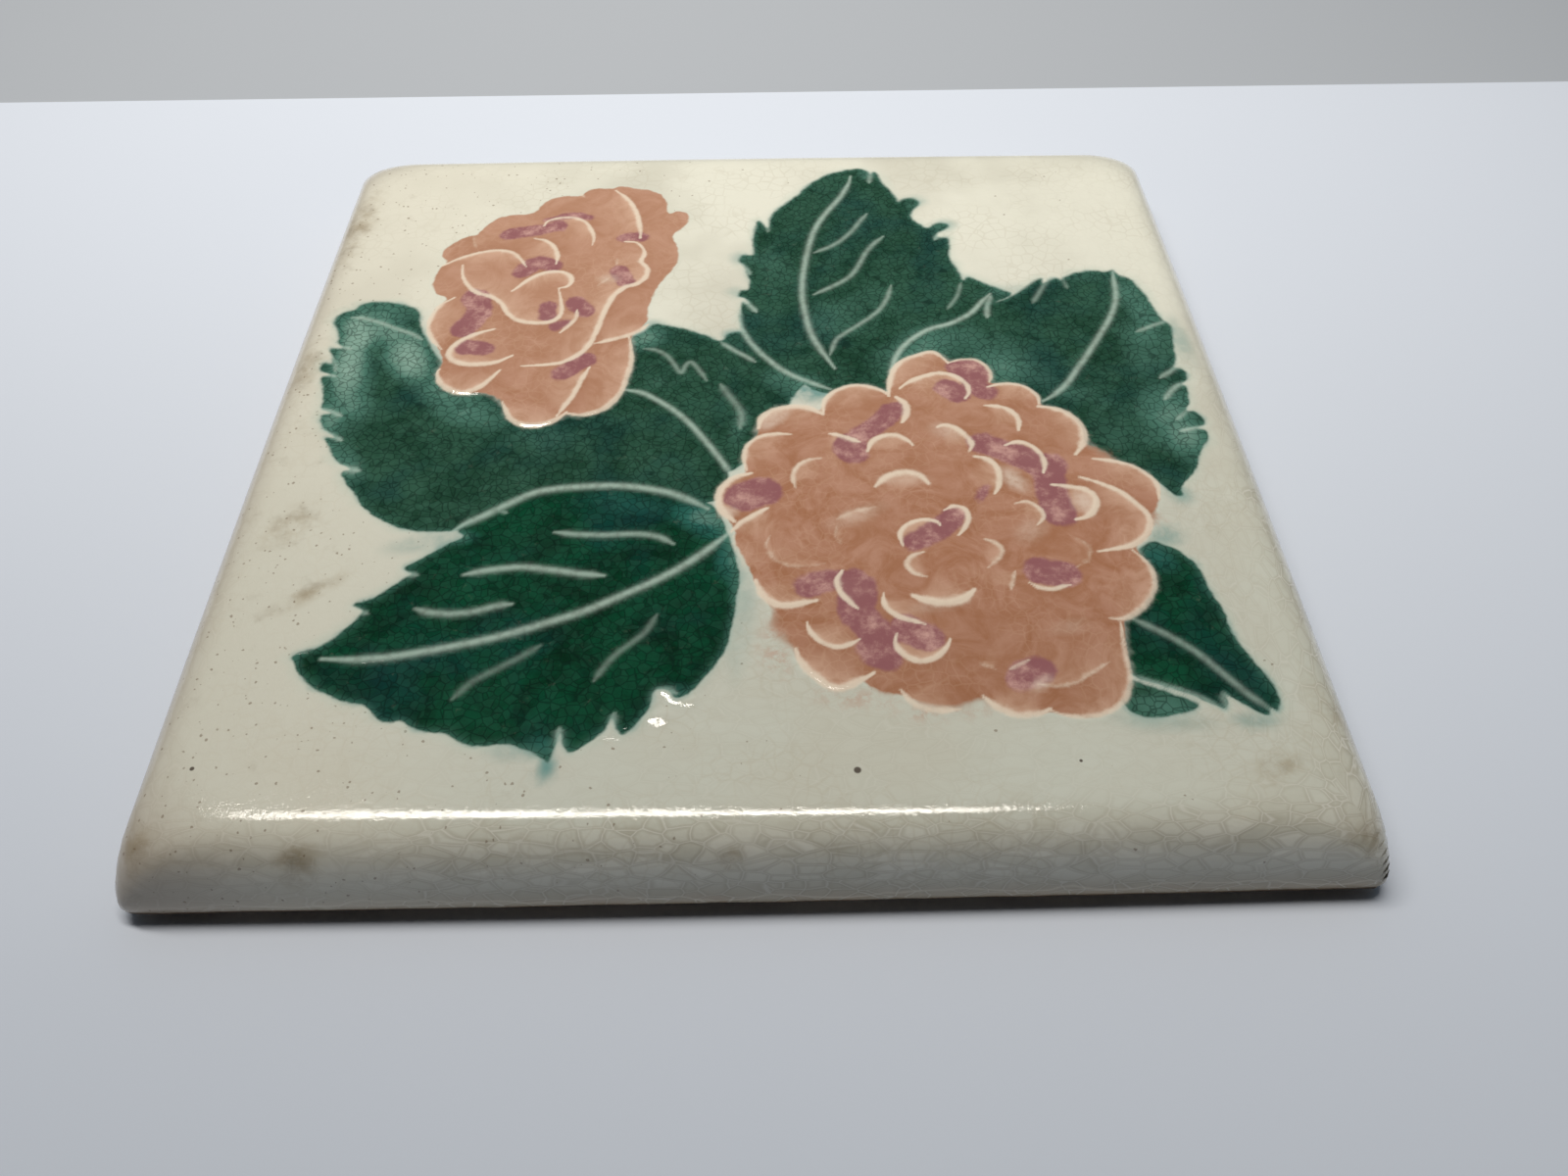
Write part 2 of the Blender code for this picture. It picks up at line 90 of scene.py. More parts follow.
# %% Outlines of the leaves, corner by corner
LEAVES = {
    "middle": (
        (-5, -16), (-7, -11), (-11, -4.5), (-16, 0.5), (-21, 3.5), (-21, 10), (-20, 17), (-17.6, 18),
        (-15.6, 20.8), (-13.6, 20.1), (-11, 19.3), (-9, 18.3), (-6.5, 16.8), (-4.9, 15.7), (-3.7, 17.9),
        (-2.2, 18.2), (-0.4, 17.5), (1.8, 13.6), (3.8, 11.2), (6.5, 8.5), (9.5, 6.5), (6, 2), (5, -3),
        (2, -10),
    ),
    "right": (
        (30, -10), (20, 3), (22.5, 9), (28.5, 17.5), (34.5, 21.8), (39, 25), (41, 25.4), (44, 27.4),
        (46.2, 29.5), (47.8, 31.2), (48.8, 31.4), (48.6, 29.8), (49.8, 31), (51.2, 31.5), (51.9, 30.6),
        (52.3, 31.6), (54.5, 32.8), (56.5, 33.4), (58.5, 33.3), (60, 33.1), (61, 33.6), (61.7, 31.8),
        (63, 31.4), (63.9, 30), (64.7, 27.5), (65.4, 25), (65.8, 22), (66.2, 19.8), (67.4, 18.3),
        (67.2, 16), (66.8, 13.5), (66.5, 11), (66.4, 9.3), (65.3, 7.2), (66.8, 7.2), (67.3, 5.8),
        (66.9, 4.3), (65.5, 3.3), (66.5, 2.8), (66.3, 0.8), (66, -1.2), (65, -2.8), (66.6, -3),
        (67.4, -4.6), (67.2, -6), (65.6, -6.8), (67.3, -7.4), (66.9, -9.4), (65.5, -11), (64.6, -13),
        (63.9, -15), (62, -17.5), (60.6, -18.9), (60.6, -21), (59.4, -20.8), (58.6, -19.5), (56, -16),
        (50, -15),
    ),
    "left": (
        (-5, -21), (-12, -20), (-20, -18.5), (-28, -18.8), (-34, -21.3), (-38, -24), (-41, -25.4),
        (-43, -25.3), (-45.5, -25.3), (-48, -24.8), (-50.5, -23.6), (-53, -21.8), (-54.8, -20),
        (-56, -18), (-57.8, -15.5), (-59.2, -13.2), (-57.4, -12.7), (-60.3, -10.8), (-61.5, -8.5),
        (-62.7, -6.5), (-63, -5.6), (-61.2, -5.9), (-63.7, -3.7), (-64.5, -1.8), (-64.8, -0.4),
        (-62.8, -0.3), (-65, 0.7), (-65, 2.2), (-65.4, 4.2), (-66, 6.5), (-66.7, 8.4), (-65, 8.8),
        (-67.2, 10), (-67.1, 12.3), (-65.4, 11.3), (-66, 13.8), (-67, 15.6), (-64.5, 15.4), (-66, 16.8),
        (-65.8, 18.3), (-66.5, 20), (-67.5, 22), (-67.6, 23.6), (-66.5, 25), (-64.8, 25.6), (-64.2, 27),
        (-62.5, 27.8), (-60, 27.6), (-57, 26.8), (-55, 25.8), (-54, 24.3), (-53.6, 21), (-48, 10),
        (-35, 5), (-22, 4.5), (-14.5, 1.8), (-9.5, -3.5), (-5, -11), (-3, -16),
    ),
    "upper": (
        (11, 2), (5.5, 7.2), (2.2, 10.8), (-0.2, 15), (-1.6, 18.5), (-2, 21.5), (-1.8, 24.5),
        (-1.5, 26.2), (-0.4, 25.2), (-0.9, 27.2), (-2.2, 27.6), (-2, 29.3), (-0.5, 29.5), (-0.2, 31.5),
        (-0.7, 34), (-1.2, 36.2), (-2.3, 37.8), (-1.6, 39.6), (0.2, 39.3), (0.5, 41), (0.2, 44),
        (0.6, 47), (1.2, 50.2), (2.2, 48.8), (3, 47.3), (3.2, 50.3), (4.3, 53), (6.2, 55.4),
        (8.3, 57.8), (10.2, 61), (12.3, 63.4), (15, 65.4), (18.5, 66.6), (20.3, 66.9), (21.5, 66),
        (22, 64.6), (22.9, 65.6), (23.5, 64.6), (23.9, 62), (25.2, 59.5), (26.1, 57), (26.4, 55.3),
        (27.6, 56.4), (29.6, 56.6), (30.4, 54.6), (29, 52.8), (28.2, 50.8), (29, 48.9), (30.8, 46.7),
        (31.8, 47.7), (33, 48.7), (34.8, 48), (34.2, 46.4), (32.4, 45.2), (32.3, 43.9), (34.4, 43.9),
        (34.2, 41), (33.7, 38), (34.5, 35.5), (35.1, 33), (35.4, 31), (36.3, 32.3), (38, 31),
        (40, 29.4), (42, 28.2), (43.2, 27.4), (42.2, 26), (40.8, 25.4), (39, 24), (36, 20), (30, 16),
        (24, 8), (21, 2),
    ),
    "front": (
        (-3, -28), (-2.2, -31.5), (-1.8, -34), (-2, -37), (-2.3, -40), (-2.9, -44), (-3.6, -47.5),
        (-5, -50), (-6.5, -52.2), (-8, -54), (-9.5, -54.9), (-10.6, -53.3), (-12.3, -53.2),
        (-12.4, -55.3), (-13.3, -57.2), (-14.8, -59.2), (-15.8, -60), (-16.6, -59), (-17.1, -57),
        (-17.9, -59.2), (-19.2, -60.4), (-20.8, -61.8), (-22, -62.3), (-22.9, -61), (-23.2, -59),
        (-23.7, -61.6), (-24.2, -63.9), (-25.3, -62.6), (-27.4, -61.6), (-29.5, -60.7), (-31.5, -61),
        (-34, -61), (-35.6, -60), (-37, -59), (-39.5, -58.9), (-41, -58.3), (-42.5, -57), (-44, -57.4),
        (-45.5, -57), (-46.8, -55.3), (-48, -54.6), (-50.5, -54), (-53, -52.8), (-55.5, -51),
        (-57, -49.3), (-57.4, -48), (-58.3, -47), (-57.6, -46.3), (-55.5, -45.7), (-54, -44.4),
        (-52, -42), (-50.9, -40.4), (-50.7, -39.4), (-52.6, -38.3), (-50, -37.5), (-48, -35.6),
        (-46.4, -34), (-45.1, -33.2), (-46.9, -32.2), (-45.2, -30.8), (-43, -29), (-41.3, -27.4),
        (-39.3, -26.4), (-40.8, -25.2), (-38, -22.2), (-34, -19), (-28, -16.3), (-20, -15.9),
        (-12, -17.4), (-5, -21),
    ),
    "small": (
        (45, -52.6), (47, -53.2), (49.5, -54.4), (52, -55.6), (54.6, -57), (53, -58), (50, -58.6),
        (47.5, -58.8), (45.8, -58), (44.6, -56),
    ),
    "lower": (
        (46, -44), (48, -40), (50, -34), (52.5, -30.5), (54.5, -29.4), (56, -30.3), (57.5, -31.3),
        (58.8, -33), (59.7, -35), (59.8, -37.5), (60.2, -39.5), (61, -42), (60.9, -45), (61.5, -47.5),
        (62.5, -50), (63.5, -52.5), (64.3, -55), (64.2, -57), (63.4, -58.3), (62.8, -57.6),
        (62.3, -58.9), (60.5, -57.8), (58.7, -56.2), (57.8, -55.5), (57.8, -57), (57.3, -58),
        (56, -57.1), (54.5, -56.1), (53, -55.2), (50, -53.9), (47, -52.6), (45, -50),
    ),
}
print(len(LEAVES), "leaves")

# %% Veins, edges between leaves and pale nicks in the margins: strength, width, then the points
LEAF_LINES = (
    (0.7, 1.0, (18.4, 64.3), (17.8, 61.5), (16, 57), (13, 51.5), (11, 46.5), (9.8, 41), (9, 36),
     (8.5, 31), (8.4, 27), (8.8, 22), (9.5, 17.5), (10.8, 13.5), (12.9, 8.6)),
    (0.45, 0.9, (20.6, 51.8), (19, 49), (18, 47), (16.5, 44.7), (14, 42), (10.8, 40)),
    (0.5, 0.9, (23, 44.6), (21, 42), (19.5, 39.3), (18, 35.5), (16.5, 32.8), (14, 30.5), (10.3, 27.9)),
    (0.5, 0.8, (23.3, 30.2), (22.3, 26.5), (20.5, 23), (17.5, 19.8), (15, 17.5), (13.4, 15.6),
     (12.3, 12)),
    (0.75, 0.9, (-1.9, 24.5), (-1.9, 20.5), (-0.9, 17), (0.8, 13.6), (2.7, 10.8), (5, 8.1), (8, 5.8),
     (12, 3.6)),
    (0.8, 0.9, (39.5, 27.4), (38, 25.4), (35.5, 22), (32, 19.5), (28.5, 18.1), (25.5, 15.6),
     (23.4, 12.8), (22.1, 9.5), (21.3, 5)),
    (0.7, 0.9, (39.5, 26.8), (38.6, 24), (38.2, 21)), (0.35, 0.7, (35, 30.6), (34, 27), (32, 23.4)),
    (0.7, 0.95, (60.9, 33), (60.6, 30), (60.2, 26.5), (59.2, 23), (57.6, 19.5), (55.5, 15.8),
     (53, 11.5), (50.5, 7.5), (48.3, 4), (46, 1.5), (44, 0)),
    (0.55, 0.8, (-65, 23.6), (-63, 23.3), (-60, 22), (-57, 20.3), (-54.5, 19), (-52.5, 17.4)),
    (0.75, 0.9, (-19.6, 4.3), (-17, 3.6), (-14.5, 1.8), (-12, -0.5), (-9.5, -3.5), (-7, -7.5),
     (-5, -11), (-3.3, -14.5), (-2.9, -16)),
    (0.4, 0.8, (-17, 14.3), (-15, 13.8), (-13.2, 12.2), (-12.1, 10.2), (-11, 8.2), (-10.3, 10),
     (-9.5, 10.7), (-8.3, 9), (-7, 6.2)),
    (0.35, 1.1, (-4.8, 5.2), (-3.5, 2.5), (-2.2, 0), (-1.6, -2), (-1.8, -5)),
    (0.6, 0.8, (-4.9, 15.6), (-3, 13.7), (-1.3, 12.2), (0.5, 10.5)),
    (0.75, 1.15, (-41.4, -25.6), (-39.7, -23.9), (-37.5, -22.5), (-35, -20.7), (-31.2, -18.2),
     (-28, -17.3), (-24, -16.9), (-20, -16.8), (-16, -17.3), (-12, -18.4), (-9, -19.9), (-6.2, -21.8)),
    (0.4, 0.7, (-36.5, -21.9), (-35.3, -21.5), (-34.2, -21.9)),
    (0.75, 1.1, (-54.4, -47.3), (-50, -47.5), (-46, -47.2), (-42, -46.5), (-38, -45.6), (-34, -44.6),
     (-30, -43.3), (-26, -41.8), (-22, -40.2), (-18, -38), (-14, -35.7), (-10, -33), (-7, -30.4),
     (-4.5, -27.9), (-2.5, -25.8)),
    (0.7, 1.05, (-38.6, -33.4), (-35, -32.6), (-31, -32.2), (-27, -32.8), (-23, -33.6), (-19.8, -34)),
    (0.6, 0.95, (-27.2, -25.8), (-24, -26.3), (-20, -26.5), (-16, -26.4), (-13, -27), (-10.8, -28.4)),
    (0.6, 1.05, (-44, -39.2), (-42, -39.9), (-39, -40.2), (-36, -39.8), (-33.5, -39), (-31.5, -38.7)),
    (0.25, 1.0, (-27, -45.7), (-30, -48), (-33, -50), (-35, -51.5), (-37, -54)),
    (0.28, 0.9, (-12.5, -41), (-14, -44), (-17, -47), (-18.5, -49), (-19.8, -51.5)),
    (0.45, 0.95, (48.8, -43), (51, -44.6), (53.5, -46.5), (56, -49), (58.5, -52.5), (60.5, -55.3),
     (62.8, -58)),
    (0.5, 0.8, (46.8, -52.4), (49.5, -53.6), (52.5, -54.8), (55, -56.2), (57.5, -58.6)),
    (0.35, 0.9, (49.8, 31.2), (48.4, 28.9), (46.2, 24.8)),
    (0.3, 0.7, (52, 32), (52.3, 30), (52.5, 28.6)),
    (0.5, 0.8, (68.4, 19.7), (65.5, 18.6), (61.6, 16.6)),
    (0.55, 0.9, (67.2, 9.8), (65.8, 7.4), (62.9, 5.1)), (0.6, 0.9, (67.4, 3.6), (65, 3), (62.5, 0)),
    (0.45, 0.8, (66.4, -1.6), (65, -3), (63.3, -4.6)),
    (0.75, 0.7, (68.2, -6.3), (65.6, -6.7), (63.3, -7.2)),
    (0.5, 0.9, (22.4, 66.5), (22, 64), (21.7, 62)), (0.6, 0.8, (-1.9, 37), (-0.9, 35.6), (-0.2, 33.8)),
    (0.7, 0.9, (-2.4, 27.2), (-0.9, 26), (0.8, 23.4)), (0.5, 0.7, (2.5, 50), (2.9, 48.3), (3, 46.6)),
    (0.6, 1.0, (34.6, 45.3), (33, 44.9), (31.9, 43.4)),
    (0.6, 0.7, (-68.4, 17.1), (-66, 16.1), (-63.4, 15.4)),
    (0.5, 0.6, (-66.3, 13.8), (-65.3, 12), (-64.7, 9.8)),
    (0.8, 0.7, (-69.2, 9.3), (-66.4, 9), (-64.4, 8.6)),
    (0.7, 0.8, (-65.4, 0.8), (-63.6, 0.3), (-61.6, -0.8)),
    (0.75, 0.8, (-64, -3.8), (-62.4, -5), (-60.4, -6.3)),
    (0.7, 1.3, (-61, -10.9), (-59.4, -12.2), (-56.6, -12.8)),
    (0.5, 0.9, (-47.6, -32.6), (-45.9, -33.2), (-44.7, -33.3)),
    (0.5, 0.8, (-52.2, -39), (-50.9, -39.6), (-50, -40)),
    (0.6, 0.9, (-22.9, -62.4), (-23.3, -60.6), (-23.4, -58.6)),
    (0.6, 0.9, (-17.4, -60.6), (-17.1, -58.6), (-16.9, -56.6)),
    (0.5, 1.0, (57.2, -60), (57.6, -57.8), (57.6, -55.2)),
    (0.6, 1.3, (-12, -55.4), (-11.4, -53.6), (-9.6, -53.8)),
)
print(len(LEAF_LINES), "lines in the leaves")

# %% Outlines of the blooms
BLOOMS = (
    (
        (-2.2, -26.5), (-3.4, -24.2), (-4.6, -22), (-4.9, -19.5), (-4, -17), (-2.2, -15.5),
        (-0.8, -14.8), (-1.3, -11.5), (-0.8, -9), (0.6, -7.5), (0.9, -5), (1.5, -2.8), (3.3, -1),
        (6, -0.4), (8.5, -0.9), (10.4, -1.8), (10.9, 0.5), (12.5, 3), (15, 4.3), (17.5, 4.2), (19.8, 3),
        (20.9, 2.2), (21, 4.5), (21.8, 7.5), (23.3, 10), (26, 11.5), (28.3, 12.3), (29.7, 11),
        (30.7, 9.4), (32.5, 10.1), (35, 10), (36.5, 8.3), (36.9, 6), (36.5, 4.2), (38, 4.1), (40, 4.1),
        (42, 3.2), (43.3, 1), (43.4, -1), (45, -1.7), (47, -2.8), (48.5, -5), (48.9, -7.5), (48.6, -10),
        (50.5, -11), (52, -13.4), (54.5, -14.6), (56.2, -16.3), (57.3, -18.5), (57.2, -21),
        (56.2, -23.3), (55.3, -25.5), (54.6, -27.8), (53, -29.6), (51.6, -30.8), (52.4, -32.8),
        (53.2, -35), (52.8, -38), (51.3, -40.5), (49.5, -42.3), (47.6, -43.4), (47.1, -47), (46.9, -50),
        (46.6, -53), (45.5, -55.8), (43.5, -57.8), (41, -58.6), (38, -58.5), (36, -57.6), (34.5, -58.1),
        (32, -58.3), (29.8, -57.3), (28, -55.4), (25.5, -56.6), (22.5, -57), (20.3, -56.3), (18, -54.6),
        (16, -54.5), (14.5, -53.5), (13.5, -52.5), (12, -53.3), (10, -53.7), (8, -52.3), (6, -49.8),
        (5, -47.2), (3.2, -45), (2.2, -43), (2.8, -40.8), (1.6, -38.8), (0.4, -36.5), (-0.3, -34),
        (-1.2, -31.5), (-2.2, -29.3), (-2.6, -28),
    ),
    (
        (-49.2, 14.2), (-50.8, 17), (-52, 20), (-52, 23), (-51, 26.3), (-50, 28.2), (-52.3, 29.5),
        (-53.4, 32), (-53.2, 34.5), (-52.7, 37), (-51.6, 38.2), (-53.1, 40.5), (-52.8, 42.5),
        (-51.2, 44.6), (-49, 46.6), (-47.8, 46.6), (-46.9, 49), (-45, 51.8), (-42.5, 52.8), (-40, 52.9),
        (-38.3, 53.4), (-37.6, 55.8), (-36, 58), (-33.5, 58.8), (-31.6, 58.5), (-30.4, 58.8),
        (-29.6, 60.7), (-27.5, 61.2), (-25.3, 60.9), (-23.8, 61.9), (-22, 61.3), (-20.3, 60.6),
        (-18, 60.3), (-16, 58.5), (-15, 56), (-15, 53.5), (-14.4, 52.2), (-13.3, 53.5), (-11.5, 52.8),
        (-10.8, 50.5), (-12, 48), (-13.8, 45.6), (-12.8, 42.5), (-12.3, 39.5), (-12.8, 36.5),
        (-14.3, 33.5), (-15.7, 30.5), (-16.5, 27), (-17, 24), (-16.8, 21), (-18, 18.7), (-19.4, 17.2),
        (-19, 14), (-18.8, 10.5), (-19.3, 7), (-19.8, 4), (-21, 1.3), (-23, -0.8), (-25.5, -1.6),
        (-27.8, -1.3), (-29.5, -2.8), (-32, -3.9), (-34.5, -3.5), (-36.3, -2), (-37.2, 0.3),
        (-38.3, 2.6), (-41, 4), (-44, 3.8), (-46.5, 4.8), (-48.2, 6.8), (-48.8, 9), (-48.3, 11.5),
    ),
)
print([len(outline) for outline in BLOOMS], "corners round the blooms")

# %% The petals' edges: strength, width, then the points
PETAL_LINES = (
    (1.0, 1.4, (-2.6, -24.6), (-4.4, -22.3), (-4.9, -19.5), (-4, -17), (-2.2, -15.5), (-0.2, -14.9)),
    (0.9, 1.0, (-0.9, -14.2), (-1.3, -11.5), (-0.8, -9), (0.8, -7.3), (3, -6.7), (5.7, -6.9)),
    (1.0, 1.5, (0.9, -5.2), (1.4, -2.8), (3.3, -1.1), (6, -0.5), (8.5, -0.9), (10.6, -2.4)),
    (1.0, 1.1, (10.6, -2), (10.9, 0.5), (12.5, 2.9), (15, 4.2), (17.5, 4.1), (19.8, 2.9), (20.9, 1.5)),
    (1.0, 1.2, (20.7, 1.5), (21, 4.5), (21.8, 7.5), (23.3, 9.9), (26, 11.4), (28.3, 12.2),
     (29.7, 10.9), (30.6, 9.2)),
    (0.85, 1.0, (30.8, 9.4), (32.5, 10.1), (35, 9.9), (36.5, 8.3), (36.9, 6), (36.4, 4.4)),
    (1.0, 1.0, (36, 3.3), (38, 4), (40, 4), (42, 3.1), (43.3, 1), (43.3, -0.8)),
    (1.0, 1.4, (43, -1.4), (45, -1.7), (47, -2.8), (48.5, -5), (48.9, -7.5), (48.3, -10),
     (46.8, -12.3)),
    (0.95, 1.1, (49, -13.2), (52, -13.6), (54.5, -14.6), (56.2, -16.3), (57.3, -18.5), (57, -21.5)),
    (1.0, 1.1, (46.5, -17), (49, -18.3), (51.5, -20), (53.5, -22.5), (54.8, -25), (54.3, -27.5),
     (53, -29.3), (50.8, -30.7), (48.5, -31.2), (46.5, -31.6)),
    (0.8, 1.1, (51.2, -31.2), (52.4, -32.8), (53.2, -35), (52.8, -38), (51.3, -40.5), (49.5, -42.3),
     (47.5, -43.3), (45.8, -43.2)),
    (0.75, 1.0, (47.2, -44), (46.9, -47), (46.8, -50), (46.6, -53), (45.5, -55.8), (43.5, -57.7),
     (41, -58.5), (38, -58.4), (36, -57.5)),
    (0.9, 1.2, (36, -57.3), (34.5, -58), (32, -58.2), (29.8, -57.2), (28, -55.2)),
    (0.8, 1.1, (18, -54), (19, -55.6), (20.5, -56.8), (22.5, -57.3), (25, -57.1)),
    (1.0, 1.3, (5.3, -47.3), (6, -49.6), (8, -52.2), (10, -53.6), (12, -53.2), (14, -52),
     (14.9, -51.4)),
    (1.0, 1.3, (0.3, -35.5), (1, -37.8), (2.5, -39.6), (4.5, -40.2), (6.5, -39.8), (8.3, -39.4)),
    (0.95, 1.1, (2, -22.2), (0, -23.6), (-1.6, -24.8), (-3, -26.4)),
    (0.45, 0.9, (-2.6, -27.2), (-2.4, -29.5), (-1.4, -32), (-0.6, -34.5)),
    (1.0, 1.1, (22.5, 3.2), (24, 4.6), (26.5, 5.9), (29, 6.6), (31.3, 5.8), (32.8, 3.8), (33, 1.8),
     (32.3, 0.5)),
    (1.0, 1.3, (21.8, 1.3), (23, -0.3), (23.2, -2.8), (22.3, -4.8)),
    (1.0, 1.1, (11.4, -6.9), (13.2, -7.6), (15.7, -9)),
    (1.0, 1.1, (16.7, -11), (17.4, -9), (19, -7.8), (21, -7.6), (22.6, -8.7), (23.4, -9.9)),
    (0.75, 1.0, (6, -18.3), (5.7, -16), (6.5, -13.8), (8.2, -12.6), (10, -12.3)),
    (1.0, 1.1, (35, -1.2), (37, -1.5), (38.7, -2.5), (39.6, -4.4), (39.3, -6.9)),
    (0.95, 1.2, (27.3, -6), (28.5, -5.6), (30, -6.3), (31.3, -8), (32, -10), (31.5, -11.4)),
    (1.0, 1.1, (32, -12.5), (33.7, -13), (34.9, -14.5), (35.2, -16.5), (34.8, -18.8), (34, -20.3)),
    (1.0, 1.0, (36.8, -10.2), (38.8, -9.5), (40.6, -10.4), (41.8, -12.3), (42, -14.3), (41.5, -16.2)),
    (1.0, 1.2, (42.3, -18.6), (44.5, -19), (46.8, -19.6), (48, -21.3), (47.7, -23.4), (46.3, -25),
     (44.5, -25.6)),
    (0.8, 0.9, (36.5, -22.3), (38.3, -22), (39.8, -23.3), (40.2, -25), (39, -26.6)),
    (1.0, 0.9, (26.5, -23.4), (28, -22.6), (29.5, -23.3), (29.8, -25), (29, -27), (28, -28.3)),
    (1.0, 0.9, (20.2, -30), (20, -27.8), (21.2, -26), (23.3, -25.2), (25.2, -25.5), (25.8, -26.3)),
    (0.75, 1.0, (23, -31.2), (21.2, -32), (20.4, -33.5), (21.2, -35), (23, -35.8)),
    (0.6, 1.1, (31.5, -29), (33, -29.8), (33.6, -31.3), (32.7, -33), (31.3, -34.3)),
    (0.9, 1.5, (17.3, -18.4), (19, -16.5), (21.5, -15.5), (23.8, -16.3), (25, -18)),
    (1.0, 1.6, (20.8, -39), (22.5, -39.9), (25, -40.4), (27.5, -39.7), (29, -38.2)),
    (1.0, 1.0, (11.8, -34.3), (11, -36), (11.4, -38.2), (12.6, -40), (13.5, -41)),
    (1.0, 0.9, (17, -38.5), (17, -40.5), (18.3, -42.3), (20.5, -43.3), (22, -43.8)),
    (1.0, 1.0, (18.2, -45.3), (17.9, -47), (18.8, -48.7), (20.7, -49.8), (22.8, -49.3), (24.3, -47.8),
     (25, -46.3)),
    (0.95, 0.9, (6.8, -43), (7.3, -44.8), (8.8, -46.6), (10.8, -47.3), (12.5, -46.7), (13.5, -46)),
    (0.9, 0.8, (36.3, -37), (37.5, -38), (39.3, -38.3), (40.8, -37.8), (41.8, -37.5)),
    (0.4, 1.0, (2.3, -27.5), (1.8, -29.5), (2.8, -31.8), (4.8, -33.2), (7, -33.4), (9.5, -33)),
    (0.45, 1.2, (11.5, -24.8), (14, -23.3), (17, -22.5)),
    (0.3, 1.0, (11.5, -26), (11.2, -28), (12, -29.5)),
    (0.6, 0.8, (31.8, -51.2), (33.5, -50.3), (34.5, -49.8)),
    (0.5, 1.0, (35, -53.6), (37.5, -54), (40, -53.4), (42, -52), (44.5, -50.3)),
    (0.35, 1.0, (43, -28.3), (45.3, -30.5), (45, -33), (43, -34.5)),
    (0.6, 0.9, (34.8, -35), (34.2, -37), (33.8, -38.2)), (0.4, 1.0, (28.3, -50.3), (30, -51.2)),
    (0.9, 1.0, (-49, 28.3), (-51, 26.3), (-52, 23), (-52, 20), (-50.8, 17), (-49, 14.6)),
    (0.9, 1.0, (-19.5, 17), (-19, 14), (-18.8, 10.5), (-19.3, 7), (-19.8, 4), (-21, 1.3), (-23, -0.8),
     (-25.5, -1.6), (-27.8, -1.2)),
    (1.0, 1.0, (-27.8, -1), (-29.5, -2.8), (-32, -3.9), (-34.5, -3.5), (-36.3, -2), (-37.3, 0.3),
     (-37.9, 1.8)),
    (0.95, 1.1, (-39, 9), (-40.2, 7), (-41.5, 5.2), (-44, 3.9), (-46.5, 4.8), (-48.2, 6.8), (-48.8, 9),
     (-48.6, 9.8)),
    (0.85, 1.0, (-16.6, 20.4), (-18, 18.6), (-20, 17.2), (-22.5, 16), (-25, 15.2)),
    (0.95, 1.0, (-49, 37.5), (-48.6, 34.5), (-47.5, 31.8), (-45.5, 29.3), (-43, 28), (-41, 26),
     (-39.8, 23.5), (-38, 21.5), (-35.5, 20.6), (-33, 20.6), (-31.3, 21.8), (-30.8, 24), (-31.3, 27),
     (-31.9, 29.8)),
    (1.0, 1.1, (-31.9, 30), (-30.5, 30.5), (-29.9, 32), (-30.6, 33.8), (-32.5, 34.7), (-35, 34.3),
     (-37, 32.8), (-38.8, 30.5), (-39.7, 29.5)),
    (0.9, 1.0, (-52.5, 37.5), (-50.5, 39), (-47.5, 40.5), (-44.5, 41.4), (-41.5, 41), (-39.7, 39.3),
     (-38, 36.3)),
    (0.95, 1.0, (-37.5, 44.8), (-35.5, 44), (-33.8, 42), (-33, 39.5), (-33, 37)),
    (0.85, 1.0, (-36.4, 48.7), (-35.8, 50.3), (-33.5, 51.2), (-31, 51), (-29, 49.5), (-27.8, 47),
     (-27.2, 44.5), (-27.3, 42.5)),
    (0.95, 1.1, (-24.5, 60.2), (-22.3, 57.3), (-20.7, 54), (-19.8, 50.5), (-19.3, 47), (-19.2, 44.5)),
    (1.0, 1.1, (-21.8, 43.5), (-19.8, 43.2), (-18.5, 41.3), (-18.2, 39.5), (-18.6, 37.5),
     (-17.5, 35.5), (-17.6, 33.3), (-18.8, 31.3), (-21, 30), (-22.5, 28), (-23.5, 25), (-24.2, 21.5),
     (-24.8, 18), (-25.6, 15), (-27, 12.5), (-29.5, 10.5), (-32, 10), (-35.8, 9.8)),
    (0.85, 0.9, (-28.4, 24), (-28.3, 21.8), (-29.3, 19.8), (-30.6, 18)),
    (1.0, 1.2, (-41.3, 19.3), (-43.5, 18.5), (-46, 16.8), (-47.6, 14.5), (-47.4, 12.3), (-45.5, 10.8),
     (-43, 10.3), (-40, 10.8), (-37.5, 12.5)),
    (0.95, 1.0, (-25.2, 9.3), (-26.2, 6), (-27.2, 2.5), (-28.3, 0), (-29.2, -1.8)),
    (0.5, 0.8, (-30.8, 59.5), (-30, 58)), (0.4, 0.9, (-48.5, 46.5), (-48, 44), (-47.5, 42.5)),
    (0.4, 0.8, (-22.8, 38.5), (-22.9, 36.6)), (0.45, 1.0, (-23.6, 33), (-25.6, 30.6)),
)
print(len(PETAL_LINES), "lines in the blooms")

